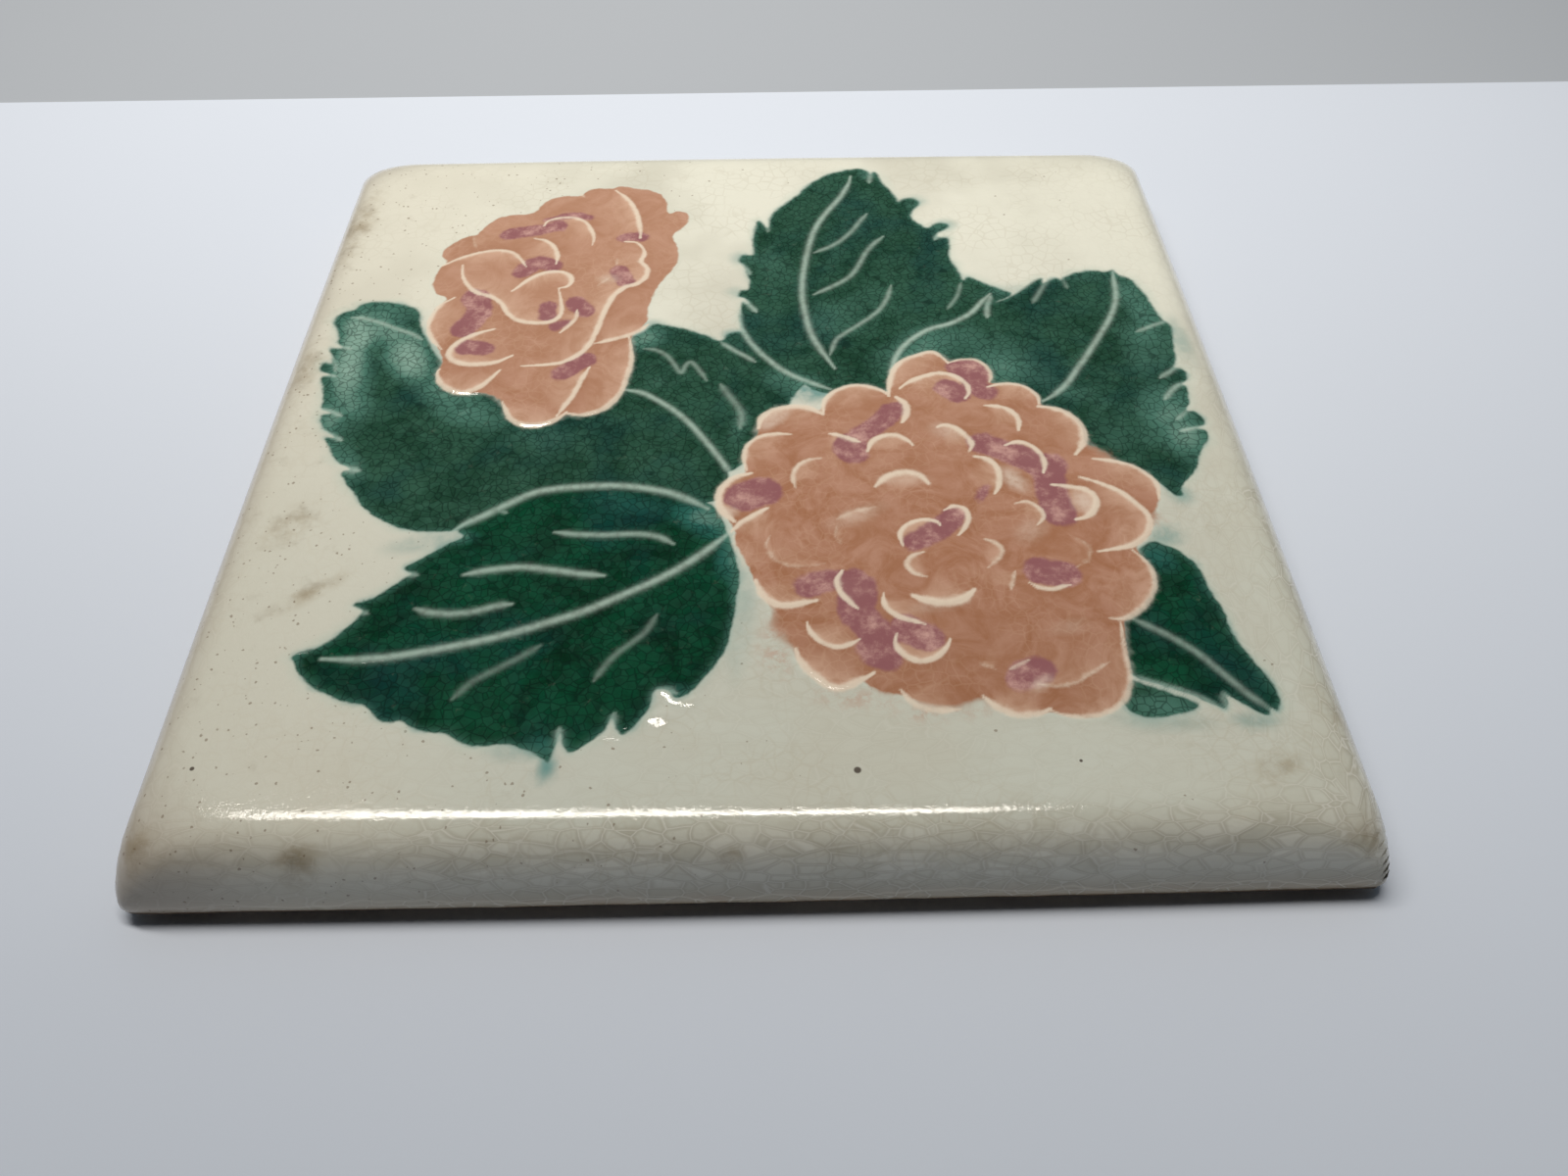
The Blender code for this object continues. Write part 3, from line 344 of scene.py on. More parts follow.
# %% Strokes of mauve glaze: half the brush's width, then the points
MAUVE_STROKES = (
    (2.9, (-1.2, -19.8), (1.5, -18.8)), (1.9, (21.3, -2), (18.8, -4.8), (16.2, -7.2)),
    (2.5, (14.3, -9.5), (14.3, -11.2)), (2.7, (32.8, 8), (34.5, 6.5)), (2.0, (34, 4), (35.4, 2)),
    (2.0, (29.5, 3), (31.2, 1.5)), (2.3, (33.5, -9.8), (37.5, -12), (41, -14.5)),
    (2.4, (43, -14.5), (42, -19), (42.5, -24.5)), (1.8, (27.8, -24.3), (25.5, -27), (22, -29.5)),
    (1.8, (7, -37), (10, -35.8), (13.5, -36)), (2.5, (14, -37.5), (13.5, -41.5), (16, -45.5)),
    (2.2, (15, -47.5), (16.5, -49)), (2.3, (19.5, -44.5), (22, -46)), (2.3, (38, -35), (41.3, -35.8)),
    (2.1, (33, -52.5), (35.5, -51.5)), (0.7, (33, -19), (31.5, -21.5)),
    (2.2, (-45.5, 28), (-44.3, 24), (-46.2, 19.5)), (1.9, (-45, 14.8), (-42.5, 14.5)),
    (1.8, (-38.5, 35), (-36, 37.5), (-33.8, 36.5)), (1.7, (-42, 46.3), (-37.5, 47.5), (-34, 48.5)),
    (0.9, (-36, 50.5), (-31.5, 52), (-28.5, 51.2)), (1.5, (-33.3, 25), (-33, 22.5)),
    (1.7, (-28.8, 25.8), (-27.2, 23.8)), (1.0, (-31.5, 19.5), (-30, 20.5)),
    (1.6, (-22.2, 34.8), (-21, 31.8)), (1.3, (-22, 44.8), (-19, 45)), (1.7, (-29.5, 7.8), (-26, 11.3)),
)
print(len(MAUVE_STROKES), "strokes of mauve")

# %% Soft patches: amount, half length, half width, turn in degrees, then the centre
THIN_GREEN = (
    (0.4, 11, 6, 40, (15, 22)), (0.45, 9, 5, 30, (24, 12)), (0.3, 9, 4, 90, (4, 36)),
    (0.8, 2, 2, 0, (21.5, 65)), (0.6, 2, 2, 0, (29.3, 54.5)), (0.6, 2, 2, 0, (33.3, 47.5)),
    (0.5, 4, 3, -30, (9, 5)), (0.4, 3, 2, 0, (-1, 38.5)), (0.6, 7, 7, 60, (37, 11)),
    (0.6, 9, 5, 40, (29, 15)), (0.7, 9, 5, 80, (62.5, 14)), (0.8, 8, 3, -75, (63, 25)),
    (1.0, 8, 5, 80, (62.5, -3)), (0.5, 7, 3, -30, (49, 2)), (0.5, 7, 4, -50, (54, -8)),
    (0.9, 5, 4, 60, (64.5, -10)), (0.5, 4, 6, 90, (41, 8)), (1.3, 5, 4.4, 30, (-61, 20)),
    (0.6, 5, 2, 20, (41, 28)), (0.4, 9, 3, 0, (56, 33)), (1.2, 9, 3.4, -85, (-63.3, 14)),
    (1.1, 11, 4, -80, (-61.5, 5)), (1.7, 7, 4, -70, (-54.5, 14)), (0.9, 6, 2.5, -75, (-63.5, -3)),
    (0.9, 6, 3, -50, (-59.5, -11)), (0.9, 8, 4, -35, (-44, 1)), (0.8, 6, 4, -50, (-50, 8)),
    (0.9, 4, 3, 30, (-65.3, 23)), (0.8, 8, 3, -15, (-60, 26)), (0.3, 9, 5, -30, (-30, -8)),
    (1.2, 4, 3, 40, (-17, 17)), (0.6, 5, 1.8, 80, (-1.8, -4)), (0.6, 6, 3, -40, (6, 5)),
    (0.3, 6, 4, -40, (-14, 8)), (1.2, 5, 3.5, -30, (-6, -24)), (0.4, 10, 2.6, -15, (-16, -21)),
    (0.9, 5, 2, 80, (-3.4, -30)), (0.7, 1.6, 1.6, 0, (-58, -47)), (0.8, 3.5, 2, 0, (-25, -61.5)),
    (0.6, 6, 1.1, 90, (-2.5, -35)), (0.6, 3, 2, 40, (-10, -54)), (0.9, 4, 2.6, -60, (54.3, -32)),
    (0.3, 3, 1.4, -70, (62.5, -53)), (0.8, 5, 2, -5, (49.5, -57)), (0.6, 3, 1.6, 0, (-40, -26.5)),
)
GREEN_WASHES = (
    (0.9, 3, 2, -20, (56.3, -28.2)), (1.0, 2.4, 1.3, 80, (-24.3, -64.2)), (0.5, 4, 1.6, 0, (-28, -62)),
    (0.9, 3.6, 2.4, 40, (-17, 18.6)), (1.1, 5, 2.4, -10, (8.5, 2.8)), (0.5, 3, 2.2, 40, (2.5, -4.5)),
    (0.55, 6.5, 2, 12, (-44, -27.2)), (0.5, 7, 1.8, -88, (68.2, 13.5)),
    (0.6, 6, 3.6, -55, (-51.2, 15.5)), (0.7, 2, 1.4, 0, (-3, 17.6)), (0.4, 7, 1.8, -5, (49, -59.2)),
    (0.6, 3.4, 1.4, 0, (60.5, -59.4)), (0.35, 12, 1.8, 84, (-1.2, -40)), (0.6, 2, 2, 0, (60.3, -20.8)),
    (0.3, 9, 1.6, 0, (40, 28.5)), (0.5, 2.5, 2, 0, (29.6, 55.6)), (0.5, 2.6, 2, 0, (34, 47.8)),
    (0.4, 2, 2, 0, (-2, 38.5)), (0.4, 2, 2, 0, (-2.6, 28.5)),
)
PALE_GLAZE = (
    (1.0, 3, 1.5, -60, (37, -17.5)), (0.9, 3.4, 1.5, 45, (3.2, -3.4)),
    (0.9, 2.6, 1.8, -80, (46.2, -22.2)), (0.5, 3, 1.8, -30, (28.6, -7)),
    (0.8, 1.6, 1.2, 0, (-3.4, -22.8)), (0.35, 4, 1.4, 0, (21.5, -17)), (0.4, 4, 1.2, 10, (24, -40.6)),
    (0.3, 3, 1, 10, (40.5, -44.6)), (0.4, 5, 1.6, 25, (14.5, -24)), (0.6, 2, 1, 40, (35.5, -53.5)),
    (0.35, 3, 2, 40, (38, -27.5)), (0.5, 2, 1.4, 0, (-23.8, 32.6)),
)
PEACH_SMEARS = (
    (0.5, 6, 2.8, 72, (3.2, -45)), (0.6, 3, 2, 60, (4.4, -43)), (0.6, 6, 1.8, -10, (12.5, -55.2)),
    (0.6, 4, 2, 0, (21, -57.4)), (0.4, 3, 2, 0, (27, -57)), (0.5, 3, 1.4, -70, (3.2, -49.5)),
    (0.9, 2.6, 1.6, -30, (50.2, -12)), (0.7, 1.6, 1.4, 0, (55.6, -25.4)),
)
STAINS = (
    (0.8, 3, 1.6, 10, (-52, -74.6)), (0.7, 2.2, 0.8, 5, (-3, -75)), (0.7, 3.6, 2, 15, (61.6, -66)),
    (0.6, 6, 1.6, 38, (-58.5, -36.5)), (0.5, 4, 2.4, 0, (71, -73.6)), (0.4, 5, 2, -60, (70, -58)),
    (0.5, 3, 2, 0, (-70.5, -72)), (0.4, 6, 3, 60, (-64, -24)), (0.35, 8, 4, 80, (-69, 10)),
    (0.45, 12, 3, 85, (-69, 50)),
)
patch_count = sum(map(len, (THIN_GREEN, GREEN_WASHES, PALE_GLAZE, PEACH_SMEARS, STAINS)))
print(patch_count, "soft patches")

# %% The drawing laid on the tile's face
DRAWN_WIDTH, DRAWN_DEPTH, DRAWN_SHIFT = 134.2, 136.7, 0.45


def on_face(points):
    """Points of the drawing as places on the face, in mm."""
    scale = (LEVEL_FACE / DRAWN_WIDTH, LEVEL_FACE / DRAWN_DEPTH)
    return np.array(points, float) * scale + (0, DRAWN_SHIFT)


print("the upper leaf's tip lies at", np.round(on_face((20.3, 66.9)), 1))

# %% [markdown]
# ## Lines as points
#
# A spline object would give the same curves, but they would have to be read back as points before
# anything could be measured from them. Two short functions do it directly. The first is the smooth
# curve that passes through all of its points, for a vein or a petal's edge. The second cuts the
# corners of a closed outline, and keeps the teeth of a leaf that a smooth curve would round away.

# %% Smooth lines and softened outlines
LINE_STEPS = 6  # points to a span of a line
CORNER_CUTS = 2  # how often the corners of an outline are cut
CUT_SHARE = 0.2  # share of a side that a cut takes off at each end


def smooth_line(points):
    """Points on a smooth curve through all of the given ones."""
    p = on_face(points)
    p = np.vstack([2 * p[0] - p[1], p, 2 * p[-1] - p[-2]])
    t = np.linspace(0, 1, LINE_STEPS, endpoint=False)[:, None]
    spans = [
        (2 * b + (c - a) * t + (2 * a - 5 * b + 4 * c - d) * t**2 + (3 * b - a - 3 * c + d) * t**3) / 2
        for a, b, c, d in zip(p, p[1:], p[2:], p[3:])
    ]
    return np.vstack([*spans, p[-2]])


def softened(corners):
    """A closed outline with its corners cut, its last point the same as its first."""
    p = on_face(corners)
    cut, rest = CUT_SHARE, 1 - CUT_SHARE
    for _ in range(CORNER_CUTS):
        ahead = np.roll(p, -1, axis=0)
        p = np.stack([rest * p + cut * ahead, cut * p + rest * ahead], 1).reshape(-1, 2)
    return np.vstack([p, p[:1]])


leaf_outlines = {name: softened(corners) for name, corners in LEAVES.items()}
bloom_outlines = [softened(corners) for corners in BLOOMS]
leaf_lines = [(strength, width, smooth_line(points)) for strength, width, *points in LEAF_LINES]
petal_lines = [(strength, width, smooth_line(points)) for strength, width, *points in PETAL_LINES]
print("points in the lines:", sum(len(line[2]) for line in leaf_lines + petal_lines))

# %% [markdown]
# ## Measuring from the drawing
#
# Everything that follows asks one of two questions of a place on the face: how far is it from a
# line, and how far inside an outline is it. A texture painted by hand could answer both, but it
# would blur when seen close. A distance stays sharp, because it changes evenly from point to point,
# so the edge between two glazes can be drawn finer than the mesh itself.

# %% Distance from a line
TINY = 1e-9  # mm, in the place of a length of zero that something is divided by


def from_line(places, course):
    """Distance from a line, how far along it the nearest point is (0 to 1), and on which side."""
    away = np.full(len(places), np.inf)
    along, side = np.zeros(len(places)), np.zeros(len(places))
    lengths = np.hypot(*np.diff(course, axis=0).T)
    starts = np.concatenate([[0], np.cumsum(lengths)])
    for a, b, length, start in zip(course, course[1:], lengths, starts):
        way, gap = b - a, places - a
        t = np.clip(gap @ way / max(length, TINY) ** 2, 0, 1)
        d = np.hypot(*(gap - t[:, None] * way).T)
        nearer = d < away
        away[nearer] = d[nearer]
        along[nearer] = (start + t[nearer] * length) / starts[-1]
        side[nearer] = np.sign(way[0] * gap[nearer, 1] - way[1] * gap[nearer, 0])
    return away, along, side


def near(places, course, reach):
    """Which places lie in the box round a line, widened by reach."""
    return np.all((places > course.min(0) - reach) & (places < course.max(0) + reach), axis=1)


# %% Depth inside an outline
OUTSIDE_REACH = 5.0


def inside(places, outline):
    """How far each place lies inside an outline: below zero outside, no lower than -OUTSIDE_REACH."""
    depth = np.full(len(places), -OUTSIDE_REACH)
    which = near(places, outline, OUTSIDE_REACH)
    some = places[which]
    away = from_line(some, outline)[0]
    odd = np.zeros(len(some), bool)
    for (ax, ay), (bx, by) in zip(outline, outline[1:]):
        crosses = (ay > some[:, 1]) != (by > some[:, 1])
        height = by - ay if by != ay else TINY
        odd ^= crosses & (some[:, 0] < ax + (some[:, 1] - ay) / height * (bx - ax))
    depth[which] = np.where(odd, away, -np.minimum(away, OUTSIDE_REACH))
    return depth


# %% Soft patches and brush strokes
PATCH_SPREAD = 1.25  # how far a patch fades out, as a share of its drawn size
PATCH_FADE = 1.5


def patchy(places, patches):
    """The sum of some soft oval patches, each strongest in its middle."""
    total = np.zeros(len(places))
    for amount, half_length, half_width, turn, centre in patches:
        x, y = on_face(centre)
        angle = math.radians(turn)
        dx, dy = places[:, 0] - x, places[:, 1] - y
        u = (dx * math.cos(angle) + dy * math.sin(angle)) / (half_length * PATCH_SPREAD)
        v = (dy * math.cos(angle) - dx * math.sin(angle)) / (half_width * PATCH_SPREAD)
        total += amount * np.maximum(0, 1 - u * u - v * v) ** PATCH_FADE
    return total


def brushed(places, strokes):
    """How far each place lies inside the nearest brush stroke, in mm: below zero outside."""
    depth = np.full(len(places), -OUTSIDE_REACH)
    for half_width, *points in strokes:
        course = smooth_line(points)
        which = np.flatnonzero(near(places, course, OUTSIDE_REACH))
        depth[which] = np.maximum(depth[which], half_width - from_line(places[which], course)[0])
    return depth


bloom_middle = np.array([[25.0, -26.0]])
print("the middle of the large bloom lies", inside(bloom_middle, bloom_outlines[0]), "mm in")

# %% [markdown]
# ## A grid bent over the edge
#
# The face and its cushion edge are one sheet of glaze. A subdivided cube with bevelled edges would
# give a similar form, but with its finest faces at the corners, where nothing happens. A plain grid
# is used instead: its inner rows lie on the level face, and its outer rows are bent down over the
# edge, ring by ring, as a sheet of dough is laid over a board.

# %% Even steps down the cushion edge
RIM_SHARE = 0.82  # share of the grid's half width that lies on the level face
EDGE_STEPS = 400

edge_angles = np.linspace(0, math.pi / 2, EDGE_STEPS)
edge_out = CUSHION_REACH * np.sin(edge_angles) ** (2 / CUSHION_TOP)
edge_drop = (FACE_HEIGHT - FOOT_HEIGHT) * (1 - np.cos(edge_angles) ** (2 / CUSHION_SIDE))
edge_run = np.concatenate([[0], np.cumsum(np.hypot(np.diff(edge_out), np.diff(edge_drop)))])
print("the edge is", round(edge_run[-1], 1), "mm long from the level face to the foot")


def run_down(ring):
    """How far down the edge, in mm along it, a ring of the grid lies."""
    return np.clip((ring - RIM_SHARE) / (1 - RIM_SHARE), 0, 1) * edge_run[-1]


# %% Where a point of the flat grid goes
ROUND_FADE = 5  # how fast the rings lose their round corners and bowed sides towards the middle
SHORTEST_SIDE = 1e-6  # mm


def bent(u, v):
    """The place and height, in mm, of points of a grid that runs from -1 to 1 both ways."""
    ring = np.maximum(np.abs(u), np.abs(v))
    down = run_down(ring)
    level = np.clip(ring / RIM_SHARE, 0, 1)
    inset = CUSHION_REACH - np.interp(down, edge_run, edge_out)
    half = (HALF_SIDE - inset) * level
    radius = (CORNER_RADIUS + CORNER_SOFTENING * inset) * level**ROUND_FADE
    height = FACE_HEIGHT - np.interp(down, edge_run, edge_drop)
    straight = np.maximum(half - radius, SHORTEST_SIDE)
    sideways = np.abs(v) > np.abs(u)
    major, minor = np.where(sideways, v, u), np.where(sideways, u, v)
    share = minor / np.maximum(np.abs(major), TINY)
    run = share * (straight + math.pi / 4 * radius)
    turn = np.clip((np.abs(run) - straight) / np.maximum(radius, TINY), 0, math.pi / 4)
    bow = SIDE_BOW * level**ROUND_FADE * np.clip(1 - (run / straight) ** 2, 0, 1)
    far = np.where(turn > 0, straight + radius * np.cos(turn), half + bow) * np.sign(major)
    beside = np.where(turn > 0, np.sign(run) * (straight + radius * np.sin(turn)), run)
    x, y = np.where(sideways, beside, far), np.where(sideways, far, beside)
    return np.stack([x, y], 1), height


GRID_CELLS = 152
face = bmesh.new()
bmesh.ops.create_grid(face, x_segments=GRID_CELLS, y_segments=GRID_CELLS, size=1.0)
print(len(face.faces), "faces in the flat grid")

# %% [markdown]
# ## Fine where the relief is
#
# The relief's lines are a millimetre wide, and a mesh fine enough for them everywhere would be far
# too heavy. So only the cells near a line are cut smaller, twice. The same could be done with a
# multiresolution sculpt, which can't be finer in one place than in another.

# %% Cut the cells near the lines smaller
FINE_WITHIN = (1.8, 0.8)  # mm from a line, for the first cut and for the second

relief_lines = [course for _, _, course in leaf_lines + petal_lines]
margins = list(leaf_outlines.values()) + bloom_outlines


def near_relief(places, reach):
    """Which places are closer than reach to a line, or to a margin that no petal covers."""
    covered = np.maximum(*(inside(places, outline) for outline in bloom_outlines)) > reach
    found = np.zeros(len(places), bool)
    for course, under in [(c, False) for c in relief_lines] + [(c, True) for c in margins]:
        which = np.flatnonzero(near(places, course, reach) & ~found & ~(covered & under))
        if len(which):
            found[which] = from_line(places[which], course)[0] < reach
    return found


for reach in FINE_WITHIN:
    face.faces.ensure_lookup_table()
    centres = np.array([f.calc_center_median()[:2] for f in face.faces])
    chosen = near_relief(bent(*centres.T)[0], reach)
    edges = {e for f, fine in zip(face.faces, chosen) if fine for e in f.edges}
    bmesh.ops.subdivide_edges(face, edges=list(edges), cuts=1, use_grid_fill=True)
    print("cells within", reach, "mm of a line cut, now", len(face.faces), "faces")

# %% [markdown]
# ## The relief's height
#
# Each vertex is raised or lowered by a sum of simple shapes. Leaf fields lie a little lower than the
# ground, blooms are low domes, and each petal is highest along its edge and sinks behind it, as a
# shingle does. All of them are soft, because the glaze has filled the mould's sharp corners. A
# displacement modifier with a texture would do this too, but the exported model would lose it.


# %% Shape helpers
def eased(low, high, value):
    """0 below low and 1 above high, with a smooth rise between."""
    t = np.clip((value - low) / (high - low), 0, 1)
    return t * t * (3 - 2 * t)


def waves(places, height, size, seed):
    """Gentle unevenness, up and down by about the height, with bumps of the given size."""
    return height * np.array([noise.noise(Vector((x / size, y / size, seed))) for x, y in places])


def with_ends(along, ends, run):
    """1 along a line, falling to a share of it over a run at both of its ends."""
    return ends + (1 - ends) * eased(0.0, run, along) * eased(0.0, run, 1 - along)


# %% Measure the drawing at every vertex
verts = np.array([v.co[:2] for v in face.verts])
places, height = bent(*verts.T)
down = run_down(np.max(np.abs(verts), axis=1))
above_foot = edge_run[-1] - down

leaf_depths = {name: inside(places, outline) for name, outline in leaf_outlines.items()}
leaf_in = np.maximum.reduce(list(leaf_depths.values()))
bloom_in = np.maximum(*(inside(places, outline) for outline in bloom_outlines))
mauve_in = brushed(places, MAUVE_STROKES)
print("vertices in leaves:", int((leaf_in > 0).sum()), "in blooms:", int((bloom_in > 0).sum()))

# %% Across the veins
VEIN_RISE, VEIN_SPREAD, VEIN_REACH = 0.13, 0.8, 2.5  # mm
VEIN_ENDS, VEIN_END_RUN = 0.45, 0.1  # shares of the width and of the length
VEIN_HALF = 0.5


def bell(away, reach):
    """1 on a line, and falling to nothing on both sides of it like a bell."""
    return np.exp(-((away / reach) ** 2))


vein, rise = np.zeros(len(places)), np.zeros(len(places))
for strength, width, course in leaf_lines:
    which = np.flatnonzero(near(places, course, VEIN_REACH))
    away, along, _ = from_line(places[which], course)
    swell = with_ends(along, VEIN_ENDS, VEIN_END_RUN)
    vein[which] = np.maximum(vein[which], strength * bell(away, VEIN_HALF * width * swell))
    rise[which] = np.maximum(rise[which], VEIN_RISE * strength * swell * bell(away, VEIN_SPREAD))
print("vertices on veins:", int((vein > 0.3).sum()))

# %% Across the petals' edges: crisp outside, and fading into the petal on the hollow side of the bend
PETAL_RISE, PETAL_SPREAD, PETAL_REACH = 0.075, 1.0, 7.0  # mm
PETAL_FALL, FALL_LENGTH = 0.07, 2.6  # how high the hollow side starts, and how slowly it sinks
PETAL_ENDS, PETAL_END_RUN = 0.45, 0.22
HOLLOW_WIDTH, OUTER_WIDTH = 0.58, 0.4  # of the cream line, as shares of the line's width
GLOW_LENGTH, BEHIND_LENGTH, FADE_RUN = 2.4, 2.0, 0.3

cream, glow, behind = (np.zeros(len(places)) for _ in range(3))
for strength, width, course in petal_lines:
    which = np.flatnonzero(near(places, course, PETAL_REACH))
    away, along, side = from_line(places[which], course)
    ways = np.diff(course, axis=0)
    bend = np.sign(np.sum(ways[:-1, 0] * ways[1:, 1] - ways[:-1, 1] * ways[1:, 0]))
    hollow = side * bend > 0
    swell = with_ends(along, PETAL_ENDS, PETAL_END_RUN)
    reach = width * swell * np.where(hollow, HOLLOW_WIDTH, OUTER_WIDTH)
    cream[which] = np.maximum(cream[which], strength * bell(away, reach))
    fade = strength * with_ends(along, 0.0, FADE_RUN)
    glow[which] = np.maximum(glow[which], np.where(hollow, fade * np.exp(-away / GLOW_LENGTH), 0))
    shade = np.where(hollow, 0, fade * np.exp(-away / BEHIND_LENGTH))
    behind[which] = np.maximum(behind[which], shade)
    fall = np.where(hollow, PETAL_FALL * fade, 0) * np.exp(-away / FALL_LENGTH)
    shape = PETAL_RISE * swell * bell(away, PETAL_SPREAD) + fall
    rise[which] = np.maximum(rise[which], strength * shape)
print("vertices on petals' edges:", int((cream > 0.3).sum()))

# %% Heights of the fields, and where their slopes start and end, all in mm
LEAF_SINK, LEAF_SLOPE, LEAF_UNDER_BLOOM = 0.16, (-1.2, 1.3), (-0.6, 0.3)
BLOOM_EDGE_RISE, BLOOM_CROWN_RISE = 0.06, 0.4
BLOOM_SLOPE, BLOOM_CROWN_SPAN = (-1.6, 1.4), 8
RELIEF_ENDS = (-76, -67)
BROAD_WAVES, FINE_WAVES = (0.05, 14, 3.0), (0.025, 4, 5.0)  # height, size and seed
FINE_ON_GROUND = 0.4
print("fields from", -LEAF_SINK, "to", round(BLOOM_EDGE_RISE + BLOOM_CROWN_RISE, 2), "mm")

# %% Drops of glaze, and a thicker lip of it beside the front leaf
FRONT_LIP = ((0.26, 16, 7, 52, (-9, -51.5)),)
LIP_OUTSIDE, LIP_SPREAD = 0.1, 0.75
BEADS = (
    (0.36, 1.7, 1.0, 20, (-11, -57.2)), (0.2, 0.8, 0.5, 30, (-15.4, -58.6)),
    (0.2, 1.2, 0.6, 40, (-7.6, -55.2)), (0.3, 1.4, 0.9, 20, (56.6, -73.0)),
    (0.26, 1.0, 0.8, 0, (58.6, -69.6)),
)

beside_leaf = bell(leaf_depths["front"] + LIP_OUTSIDE, LIP_SPREAD)
print(len(BEADS), "drops of glaze")

# %% Add up the heights
in_leaf = eased(*LEAF_SLOPE, leaf_in) * (1 - eased(*LEAF_UNDER_BLOOM, bloom_in))
on_bloom = eased(*BLOOM_SLOPE, bloom_in)
crown = 1 - np.exp(-np.maximum(bloom_in, 0) / BLOOM_CROWN_SPAN)
relief = -LEAF_SINK * in_leaf
relief += on_bloom * (BLOOM_EDGE_RISE + BLOOM_CROWN_RISE * crown)
relief += rise + patchy(places, FRONT_LIP) * beside_leaf
relief += waves(places, *BROAD_WAVES) + waves(places, *FINE_WAVES) * (FINE_ON_GROUND + on_bloom)
relief *= eased(*RELIEF_ENDS, -np.max(np.abs(places), axis=1))
height = height + relief + patchy(places, BEADS)
print("relief from", round(relief.min(), 2), "to", round(relief.max(), 2), "mm")

# %% The glaze's lower edge draws up a little and in under the roll
LIP = 2.4
LIP_LIFT, LESS_AT_CORNERS = 0.65, 0.75
LIP_DRAW = 0.42
BROAD_LIP_WAVES, FINE_LIP_WAVES = (0.22, 6, 9.0), (0.1, 2, 4.0)  # height, size and seed

beside = np.min(np.abs(places), axis=1) / HALF_SIDE
lip = np.clip(1 - above_foot / LIP, 0, 1) ** 2
lift = LIP_LIFT * (1 - LESS_AT_CORNERS * beside**2) + waves(places, *BROAD_LIP_WAVES)
height = height + lip * (lift + waves(places, *FINE_LIP_WAVES))
places = places * (1 - lip * LIP_DRAW / HALF_SIDE)[:, None]
print("the lip stands", round(height[above_foot < 0.01].mean(), 2), "mm above the table")

# %% Move the vertices to their places
for v, (x, y), z in zip(face.verts, places, height):
    v.co = Vector((x, y, z)) * MM
bmesh.ops.recalc_face_normals(face, faces=face.faces)
print("the face is", round(2 * places[:, 0].max(), 1), "mm wide")

# %% Keep the measurements on the mesh, for the glazes to read
DARK_LEAF_EDGE = (-0.5, 2.0)  # the two front leaves are darker from here to here, in mm inside

measures = {
    "leaf_in": leaf_in,
    "bloom_in": bloom_in,
    "mauve_in": mauve_in,
    "vein": vein,
    "cream": cream,
    "glow": glow,
    "behind": behind,
    "thin": patchy(places, THIN_GREEN),
    "wash": patchy(places, GREEN_WASHES),
    "pale": patchy(places, PALE_GLAZE),
    "smear": patchy(places, PEACH_SMEARS),
    "stain": patchy(places, STAINS),
    "dark_leaf": eased(*DARK_LEAF_EDGE, np.maximum(leaf_depths["front"], leaf_depths["lower"])),
    "roll": down / edge_run[-1],
    "above_foot": above_foot,
}
for name, values in measures.items():
    layer = face.verts.layers.float.new(name)
    for v, value in zip(face.verts, values):
        v[layer] = value
print("measures:", ", ".join(measures))

# %% [markdown]
# ## The back
#
# The tile stands on a rim and on ribs that key into mortar. The sheet's free edge is drawn inward
# and down in steps to make the foot and the rim, its last loop is filled, and the fill is cut into
# strips, so that every other strip can be pushed up as a channel. Boolean cuts would give the same
# channels with less tidy faces.

# %% Foot and rim
RIM_INSET = 4.0
RIM_WIDTH = 7.0
RIM_CORNER_RADIUS = 5.0
RIM_SLOPE = 0.3
FOOT_STEPS = ((0.75, FOOT_HEIGHT + 0.3), (1.1, 0.95))  # how far in, and at what height
RIM_STEPS = ((-RIM_SLOPE, FOOT_HEIGHT - 0.1), (0.0, 0.25), (RIM_SLOPE, 0.0))


def rounded(place, half, radius):
    """The point on a rounded square that lies in the same direction from the middle as a place."""
    x, y = np.abs(place)
    scale = half / max(x, y)
    px, py = x * scale, y * scale
    straight = half - radius
    if min(px, py) > straight:
        away = np.hypot(px - straight, py - straight)
        px, py = straight + (px - straight) * radius / away, straight + (py - straight) * radius / away
    return math.copysign(px, place[0]), math.copysign(py, place[1])


def draw_in(mesh, half, radius, z):
    """Extrudes the mesh's free edge and moves the new loop to a rounded square at height z."""
    free = [e for e in mesh.edges if e.is_boundary]
    made = bmesh.ops.extrude_edge_only(mesh, edges=free)["geom"]
    for v in made:
        if isinstance(v, bmesh.types.BMVert):
            x, y = rounded((v.co.x / MM, v.co.y / MM), half, radius)
            v.co = Vector((x, y, z)) * MM


glazed_sheet = set(face.faces)
rim_half = HALF_SIDE - RIM_INSET
for inward, z in FOOT_STEPS:
    draw_in(face, HALF_SIDE - inward, CORNER_RADIUS, z)
for inward, z in RIM_STEPS:
    draw_in(face, rim_half - inward, RIM_CORNER_RADIUS, z)
print("free edges left:", sum(e.is_boundary for e in face.edges))

# %% Keying ribs
RIB_COUNT = 7
RIB_WIDTH = 7.0
CHANNEL_SLOPE = 0.35
ON_PLANE = 1e-7  # metres

